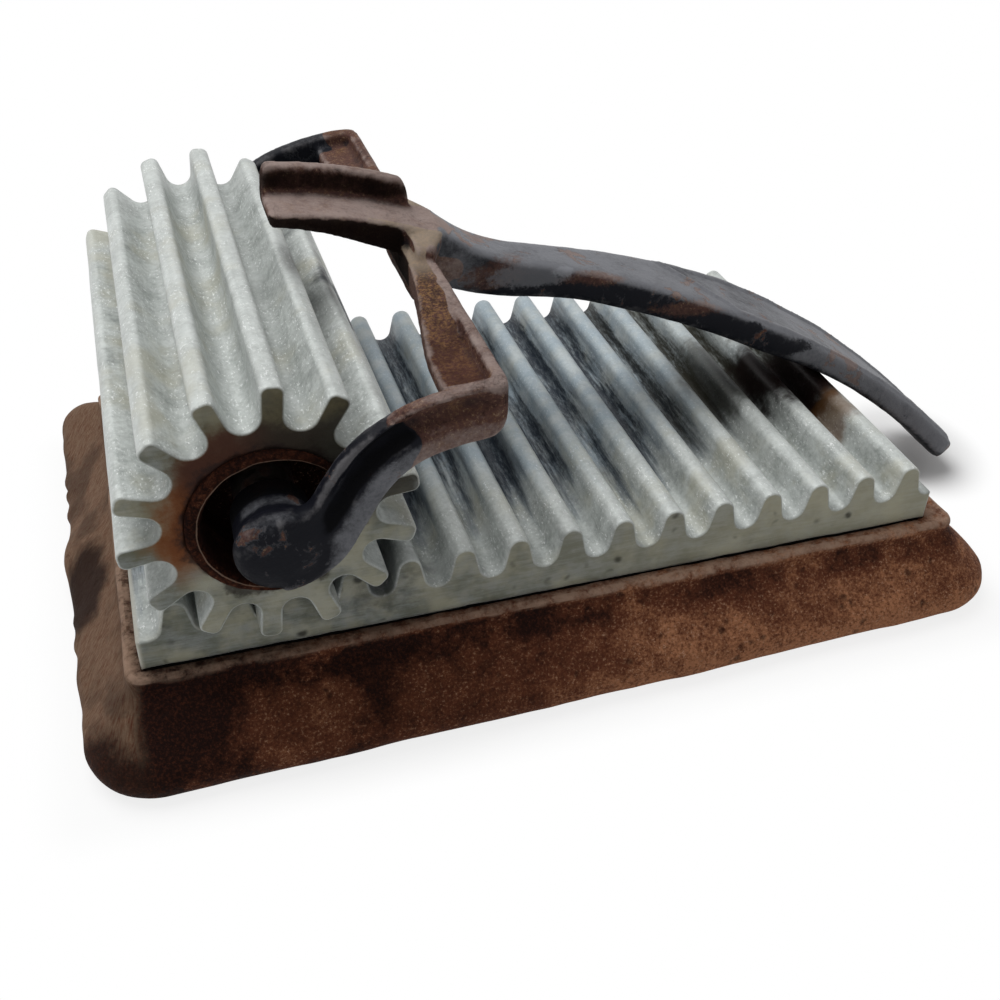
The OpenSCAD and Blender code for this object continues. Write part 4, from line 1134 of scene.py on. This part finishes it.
def yoke_material(finish):
    """Worn dark paint over brown iron: bare crossbar, arm corners and tongue, rubbed edges, a greyed top that is wear
    and painted sheen, and painted shade in hollows and creases.
    """
    w = Surface("worn_yoke_paint", 0.08)
    place = w.place()
    y = w.axes(place)[1]
    edge, pale, bare, ochre, shade = (w.value(name) for name in ("edge", "pale", "bare", "ochre", "shade"))
    ragged = w.centred(w.noise(place, 4.0, 6.0, 0.66))
    fine = w.centred(w.noise(place, 0.7, 5.0, 0.72))
    grain = w.shared("Cast pits", {"Place": place, "Size": 0.9}, "Height")
    iron, ups = mottled(w, place, 8.0, 0.02, finish.iron_dark, finish.iron_brown, finish.ochre)
    # Pale from rubbing and from painted light: a painted sheen on the paint's upward faces and painted lit tops on
    # the bare iron
    rubbed_and_lit = w.plus(pale, (ragged, 0.8), (fine, 0.6))
    rubbed = w.ramp(rubbed_and_lit, 0.3, 1.0)
    brown = w.over(iron, finish.iron_pale, rubbed, 0.5)
    iron = w.over(iron, finish.iron_pale, rubbed, 0.85)
    paint = w.mix(w.ramp(rubbed_and_lit, 0.2, 1.0), finish.paint_dark, finish.paint_worn)
    flaking = w.noise(place, 7.0, 7.0, 0.68, 0.4)
    chips = w.ramp(flaking, 0.57, 0.6)
    rims = w.times(w.ramp(flaking, 0.545, 0.57), w.ramp(flaking, 0.60, 0.575))
    paint = w.over(paint, brown, chips, w.ramp(y, 40.0, 20.0), 0.85)
    paint = w.over(paint, finish.paint_worn, rims, w.plus(0.12, (pale, 0.5)))
    paint = w.stains(paint, finish, place, w.plus(ragged, (fine, 0.9), 0.5), YOKE_MARKS,
                     {"brown": brown, "iron": iron})
    cover = w.ramp(w.plus(bare, (ragged, 0.6)), 0.44, 0.54)
    tone = w.mix(cover, paint, iron)
    granular = w.mix(w.ramp(w.noise(place, 0.5, 4.0, 0.7), 0.42, 0.6), finish.iron_brown, finish.ochre)
    granular = w.over(granular, finish.iron_dark, w.ramp(w.plus(ragged, (fine, 0.6)), 0.1, -0.12), 0.65)
    # Darker red towards the crossbar's near end and paler tan towards the neck
    granular = w.over(granular, finish.bar_red, w.ramp(y, -22.0, -44.0), 0.6)
    granular = w.over(granular, finish.bar_tan, w.ramp(y, -20.0, -10.0), 0.75)
    tone = w.mix(w.ramp(w.plus(ochre, (ragged, 0.5)), 0.4, 0.6), tone, granular)
    deep = w.ramp(w.plus(shade, (ragged, 0.5), (fine, 0.3)), 0.25, 0.7)
    tone = w.over(tone, w.mix(cover, finish.paint_shade, finish.iron_shade), deep, 0.95)
    edges = w.shared("Rubbed edges", {"Edge": edge, "Place": place, "Start": 0.035, "Full": 0.13, "Ragged": 0.2},
                     "Mask")
    tone = w.over(tone, w.mix(cover, finish.paint_edge, finish.iron_pale), edges,
                  w.math("SUBTRACT", 1.0, w.times(deep, 0.96)), w.plus(0.3, (cover, 0.42)))
    # Painted shade: dark paint laid in creases and corners, where the edge value is below zero
    tone = w.over(tone, finish.paint_dark, w.ramp(edge, -0.02, -0.12), 0.85)
    rough = w.plus(0.42, (cover, 0.2), (ups, 0.12), (deep, 0.4))
    height = w.plus((ups, w.plus(0.3, (cover, 0.5))), (grain, 0.35), (chips, -0.3))
    return w.made(tone, rough, height, 0.28)


def rusty_material(finish, name, middle, light):
    """Rusty iron of the discs inside the tube."""
    w = Surface(name, 0.03)
    rust, ups = mottled(w, w.place(), 6.0, 0.0, finish.rust_dark, middle, light)
    return w.made(rust, w.plus(0.6, (ups, 0.3)), ups, 0.3)


def tube_material(finish):
    """Rusty tube: tan where its rim is rubbed, nearly black inside as painted shade in the bore."""
    w = Surface("rusty_tube", 0.04)
    place = w.place()
    rust, ups = mottled(w, place, 5.0, -0.1, finish.rust_dark, finish.rust_mid, finish.rust_light)
    ragged = w.centred(w.noise(place, 2.0, 5.0, 0.65))
    tone = w.over(rust, finish.rim_tan, w.ramp(w.plus(w.value("rim"), (ragged, 0.9)), 0.3, 0.8), 0.6)
    # Painted shade: dark rust laid over the inside of the bore
    tone = w.over(tone, finish.rust_dark, w.value("inside"), 0.8)
    return w.made(tone, w.plus(0.6, (ups, 0.3)), ups, 0.3)


def steel_material(finish):
    """Dull steel with turning marks and a film of rust."""
    w = Surface("dull_steel", 0.5)
    place = w.place()
    rings = w.noise(place, 1.0, 3.0, 0.6, stretch=(0.1, 2.2, 0.1))
    rust, ups = mottled(w, place, 6.0, 0.02, finish.rust_dark, finish.iron_brown, finish.ochre)
    film = w.ramp(w.noise(place, 4.0, 5.0), 0.45, 0.62)
    rough = w.plus(0.35, (film, 0.35))
    w.fill(w.shader, {"Metallic": w.math("SUBTRACT", 0.9, w.times(film, 0.8))})
    return w.made(w.mix(film, finish.steel, rust), rough, w.plus(rings, ups), 0.08)


def seen_directly(w):
    """1 for rays from the camera, through clear pieces or off glossy ones, and else 0."""
    path = w.tree.nodes.new("ShaderNodeLightPath").outputs
    seen = w.math("MAXIMUM", path["Is Camera Ray"], path["Is Transmission Ray"])
    return w.math("MAXIMUM", seen, path["Is Glossy Ray"])


def floor_material(stage):
    """Pale floor that keeps the tool's shadow near the base and is white to the camera further off."""
    w = Surface("pale_floor", 0.1)
    w.fill(w.shader, {"Base Color": stage.floor, "Roughness": 0.9})
    white = w.add("ShaderNodeEmission", {"Color": (1, 1, 1)})
    off = w.vector("ABSOLUTE", w.vector("SUBTRACT", w.place(), (BASE_LO + BASE_HI) / 2))
    off = w.vector("MAXIMUM", w.vector("SUBTRACT", off, (BASE_HI - BASE_LO) / 2), (0, 0, 0))
    away = w.vector("LENGTH", w.vector("MULTIPLY", off, (1, 1, 0)), output="Value")
    under_tip = w.patch(w.place(), (90, 2, 0), (17, 22, 1), 0.5)
    factor = w.times(seen_directly(w), w.math("SUBTRACT", 1.0, w.times(under_tip, 0.95)),
                     w.plus(0.82, (w.ramp(away, 0.0, 10.0), 0.18)))
    mixed = w.add("ShaderNodeMixShader", {0: factor, 1: w.shader.outputs[0], 2: white})
    w.fill(w.tree.nodes["Material Output"], {"Surface": mixed})
    return w.material


# Operators

class FLUTER_OT_stage(bpy.types.Operator):
    """Sets up the camera, the soft lamp, the white surroundings and the pale floor"""
    bl_idname = "fluter.stage"
    bl_label = "Make the stage"

    def execute(self, context):
        scene, stage = context.scene, context.scene.fluter_stage
        scene.view_settings.view_transform = "Standard"
        self.add_camera(scene, stage)
        lamp = bpy.data.lights.new("key", "AREA")
        lamp.shape, lamp.size, lamp.energy = "DISK", stage.key_size, stage.key_power
        key = linked("key", lamp)
        key.location = stage.key_place
        key.rotation_euler = (-key.location).to_track_quat("-Z", "Y").to_euler()
        self.add_room(scene, stage)
        corners = FLOOR_HALF * np.array([[-1, -1, 0], [1, -1, 0], [1, 1, 0], [-1, 1, 0]]) / MM
        floor = linked("floor", new_mesh("floor", corners, [[0, 1, 2, 3]]))
        floor.data.materials.append(floor_material(stage))
        return {"FINISHED"}

    def add_camera(self, scene, stage):
        """Stands the camera in its place, turned by azimuth, elevation and roll."""
        camera = linked("camera", bpy.data.cameras.new("camera"))
        az, el, roll = stage.azimuth, stage.elevation, stage.roll
        back = Vector((math.sin(az) * math.cos(el), -math.cos(az) * math.cos(el), math.sin(el)))
        right = Vector((math.cos(az), math.sin(az), 0))
        above = back.cross(right)
        side = math.cos(roll) * right + math.sin(roll) * above
        above = math.cos(roll) * above - math.sin(roll) * right
        aim = Matrix((side, above, back)).transposed().to_4x4()
        camera.matrix_world = Matrix.Translation(Vector(stage.place)) @ aim
        camera.data.sensor_width, camera.data.lens, camera.data.clip_start = SENSOR, stage.lens, 0.005
        scene.camera = camera

    def add_room(self, scene, stage):
        """White surroundings to the camera and in reflections, and a weaker fill light from all round."""
        world = bpy.data.worlds.new("white_room")
        scene.world = world
        world.use_nodes = True
        w = Wiring(world.node_tree)
        strength = w.plus(stage.fill, (seen_directly(w), 1 - stage.fill))
        w.fill(world.node_tree.nodes["Background"], {"Color": (1, 1, 1), "Strength": strength})


class FLUTER_OT_base(bpy.types.Operator):
    """Builds the rusty cast base with its rim, hollow slope and rounded foot"""
    bl_idname = "fluter.base"
    bl_label = "Make the base"

    def execute(self, context):
        s = Millimetres(context.scene.fluter_base)
        points, first, last = base_points(s)
        points = uneven_base(points, first, last, s.waviness)
        rows = np.arange(len(points))
        mesh = new_mesh("base", *joined([shell(points)]))
        for name, start, end in (("seam", 1, first - 2), ("lip", first + 1, first + 6)):
            set_values(mesh, name, np.repeat((rows >= start) & (rows <= end), points.shape[1]))
        new_piece(mesh, "base", base_material(context.scene.fluter_finishes), "base_casting")
        return {"FINISHED"}


class FLUTER_OT_bed(bpy.types.Operator):
    """Builds the fluted bed by carrying the outline of its crests and valleys across the base"""
    bl_idname = "fluter.bed"
    bl_label = "Make the bed"

    def execute(self, context):
        s = Millimetres(context.scene.fluter_flutes)
        rows = end_rows(BED_LO[1], BED_HI[1], s.end_round, 60)
        points = carried(bed_outline(s), rows)
        over = points[..., 2] - BED_LO[2]
        flute = np.clip((points[..., 2] - BED_HI[2]) / s.crest_height + 1, -1, 1)
        points[..., 2] += s.waviness * cast_wave(points, 11) * rising(over, 3, 3)
        points[..., 2] += 0.2 * lumps(points, 3, 14).clip(0, 1) * (over < 0.6)
        mesh = new_mesh("bed", *joined([shell(points)]))
        set_values(mesh, "flute", flute)
        set_values(mesh, "face", np.repeat((rows[:, 1] / s.end_round) ** 2, flute.shape[1]))
        material = zinc_material(context.scene.fluter_finishes, "tarnished_zinc", bed_marks)
        new_piece(mesh, "base", material, "bed_plate")
        return {"FINISHED"}


class FLUTER_OT_roller(bpy.types.Operator):
    """Builds the fluted roller: its toothed outline carried along the axle, with end faces down to the bore"""
    bl_idname = "fluter.roller"
    bl_label = "Make the roller"

    def execute(self, context):
        s = Millimetres(context.scene.fluter_flutes)
        line = roller_outline(s)
        rows = end_rows(ROLLER_LO[1], ROLLER_HI[1], s.end_round, 60)
        outside = carried(line, rows)
        bore = (TUBE_HI[2] - TUBE_LO[2]) / 2 + 0.02
        ring = unit(line) * bore
        t = np.linspace(0, 1, 14)[1:, None, None]
        end = outside[-1] * (1 - t) + in_space(ring, ROLLER_HI[1]) * t
        inner = end[-1] + np.linspace(0, 1, 6)[1:-1, None, None] * [0, ROLLER_LO[1] - ROLLER_HI[1], 0]
        start = end[::-1] * [1, 0, 1] + [0, ROLLER_LO[1], 0]
        points = np.concatenate([outside, end, inner, start])
        face = np.concatenate([(rows[:, 1] / s.end_round) ** 2, np.ones(len(end)), np.zeros(len(inner)),
                               np.ones(len(start))])
        radius = np.hypot(points[..., 0], points[..., 2])
        flute = (radius - radius.max() + s.tooth_height) / s.tooth_height
        points = swollen(points, 1 + s.waviness * cast_wave(points, 17) / radius * rising(radius, bore, 3))
        points[..., 1] += 0.12 * lumps(points, 2.4, 23) * face[:, None] * rising(radius, bore, 2)
        mesh = new_mesh("roller", *joined([shell(points + AXLE, close_rows=True, caps=False)]))
        set_values(mesh, "flute", flute)
        set_values(mesh, "face", np.repeat(face, flute.shape[1]))
        material = zinc_material(context.scene.fluter_finishes, "bright_zinc", roller_marks)
        new_piece(mesh, "roller", material, "roller_flutes")
        return {"FINISHED"}


class FLUTER_OT_tube(bpy.types.Operator):
    """Builds the rusty core tube, a ragged rim turned round the axle, and finishes the discs inside it"""
    bl_idname = "fluter.tube"
    bl_label = "Make the core tube"

    def execute(self, context):
        finish = context.scene.fluter_finishes
        low, high = TUBE_LO[1], TUBE_HI[1]
        out = (TUBE_HI[2] - TUBE_LO[2]) / 2
        bore = out - TUBE_WALL
        edge = np.array([(high - 3, out), (high - 0.3, out), (high, out - 0.3), (high, bore + 0.6),
                         (high - 0.05, bore + 0.45), (high - 0.25, bore + 0.28), (high - 1.4, bore - 0.3),
                         (high - 5, bore - 0.4)])
        profile = np.concatenate([edge, [[0, bore]], edge[::-1] * [-1, 1] + [low + high, 0], [[0, out]]])
        points = lathe(profile, 160)
        to_end = (high - low) / 2 - np.abs(points[..., 1] - (low + high) / 2)
        radius = np.hypot(points[..., 0], points[..., 2])
        near = falling(to_end, 1.4, 1)
        points[..., 1] += 0.15 * near * np.sign(points[..., 1]) * (lumps(points, 2.2, 29) - 0.6)
        points = swollen(points, 1 - 0.01 * near * np.abs(lumps(points, 1.7, 31)))
        points += falling(radius, out, 1.2)[..., None] * HOLE_SHIFT
        mesh = new_mesh("core_tube_rim", *joined([shell(points + AXLE * [1, 0, 1], close_rows=True, caps=False)]))
        set_values(mesh, "rim", (to_end < 0.4) * (np.abs(radius - bore - 0.45) < 0.1))
        # Marks the inside of the bore for painted shade
        set_values(mesh, "inside", radius < bore - 0.2)
        new_piece(mesh, "roller", tube_material(finish), "core_tube")
        dark = rusty_material(finish, "rusty_disc", finish.iron_dark, finish.rust_mid)
        for node in ("front_end_disc", "back_end_disc"):
            finish_solid(node, dark)
        return {"FINISHED"}


class FLUTER_OT_yoke(bpy.types.Operator):
    """Builds the yoke and handle as one casting from swept arms, crossbar, tongue, neck and grip"""
    bl_idname = "fluter.yoke"
    bl_label = "Make the yoke and handle"

    def execute(self, context):
        s = Millimetres(context.scene.fluter_yoke)
        shells = [make(s, side) for side in (1, -1) for make in (arm_shell, boss_shell)]
        shells += [crossbar_shell(s), handle_shell(s), *tongue_shells(s)]
        mesh = fused(*joined(shells), s.voxel)
        points, normals, edges = mesh_arrays(mesh)
        relief, panel = panel_relief(s, points, normals)
        relief = relief + 0.05 * lumps(points, 2.6, 37) + 0.12 * lumps(points, 9, 41)
        for name, values in yoke_zones(s, points, normals, panel).items():
            set_values(mesh, name, spread(values, edges, 3))
        points = points + normals * relief[:, None]
        set_values(mesh, "edge", spread(standing_out(points, normals, edges), edges, 3) / s.voxel)
        lifted = in_space(turned(points[:, ::2], s.lift), points[:, 1]) + AXLE
        mesh.vertices.foreach_set("co", (lifted * MM).ravel())
        mesh.update()
        new_piece(mesh, "handle", yoke_material(context.scene.fluter_finishes), "yoke_handle")
        return {"FINISHED"}


class FLUTER_OT_fittings(bpy.types.Operator):
    """Finishes the axle and the bed's screws in dull steel"""
    bl_idname = "fluter.fittings"
    bl_label = "Finish the axle and the screws"

    def execute(self, context):
        steel = steel_material(context.scene.fluter_finishes)
        for node in ("axle_rod", "bed_screws"):
            finish_solid(node, steel)
        return {"FINISHED"}


class FLUTER_PT_panel(bpy.types.Panel):
    """Lists the steps that build the fluting iron"""
    bl_idname = "FLUTER_PT_panel"
    bl_label = "Fluting iron"
    bl_space_type = "VIEW_3D"
    bl_region_type = "UI"
    bl_category = "Fluting iron"

    def draw(self, context):
        for step in STEPS:
            self.layout.operator(step.bl_idname)


SETTINGS = {"fluter_flutes": FluteSizes, "fluter_base": BaseSizes, "fluter_yoke": YokeSizes,
            "fluter_finishes": Finishes, "fluter_stage": StageSettings}
STEPS = (FLUTER_OT_stage, FLUTER_OT_base, FLUTER_OT_bed, FLUTER_OT_roller, FLUTER_OT_tube, FLUTER_OT_yoke,
         FLUTER_OT_fittings)


def register():
    for kind in (*SETTINGS.values(), *STEPS, FLUTER_PT_panel):
        bpy.utils.register_class(kind)
    for name, kind in SETTINGS.items():
        setattr(bpy.types.Scene, name, PointerProperty(type=kind))


def unregister():
    for name in SETTINGS:
        delattr(bpy.types.Scene, name)
    for kind in (FLUTER_PT_panel, *reversed(STEPS), *SETTINGS.values()):
        bpy.utils.unregister_class(kind)


def main():
    register()
    for step in STEPS:
        area, name = step.bl_idname.split(".")
        getattr(getattr(bpy.ops, area), name)()


if __name__ == "__main__":
    main()
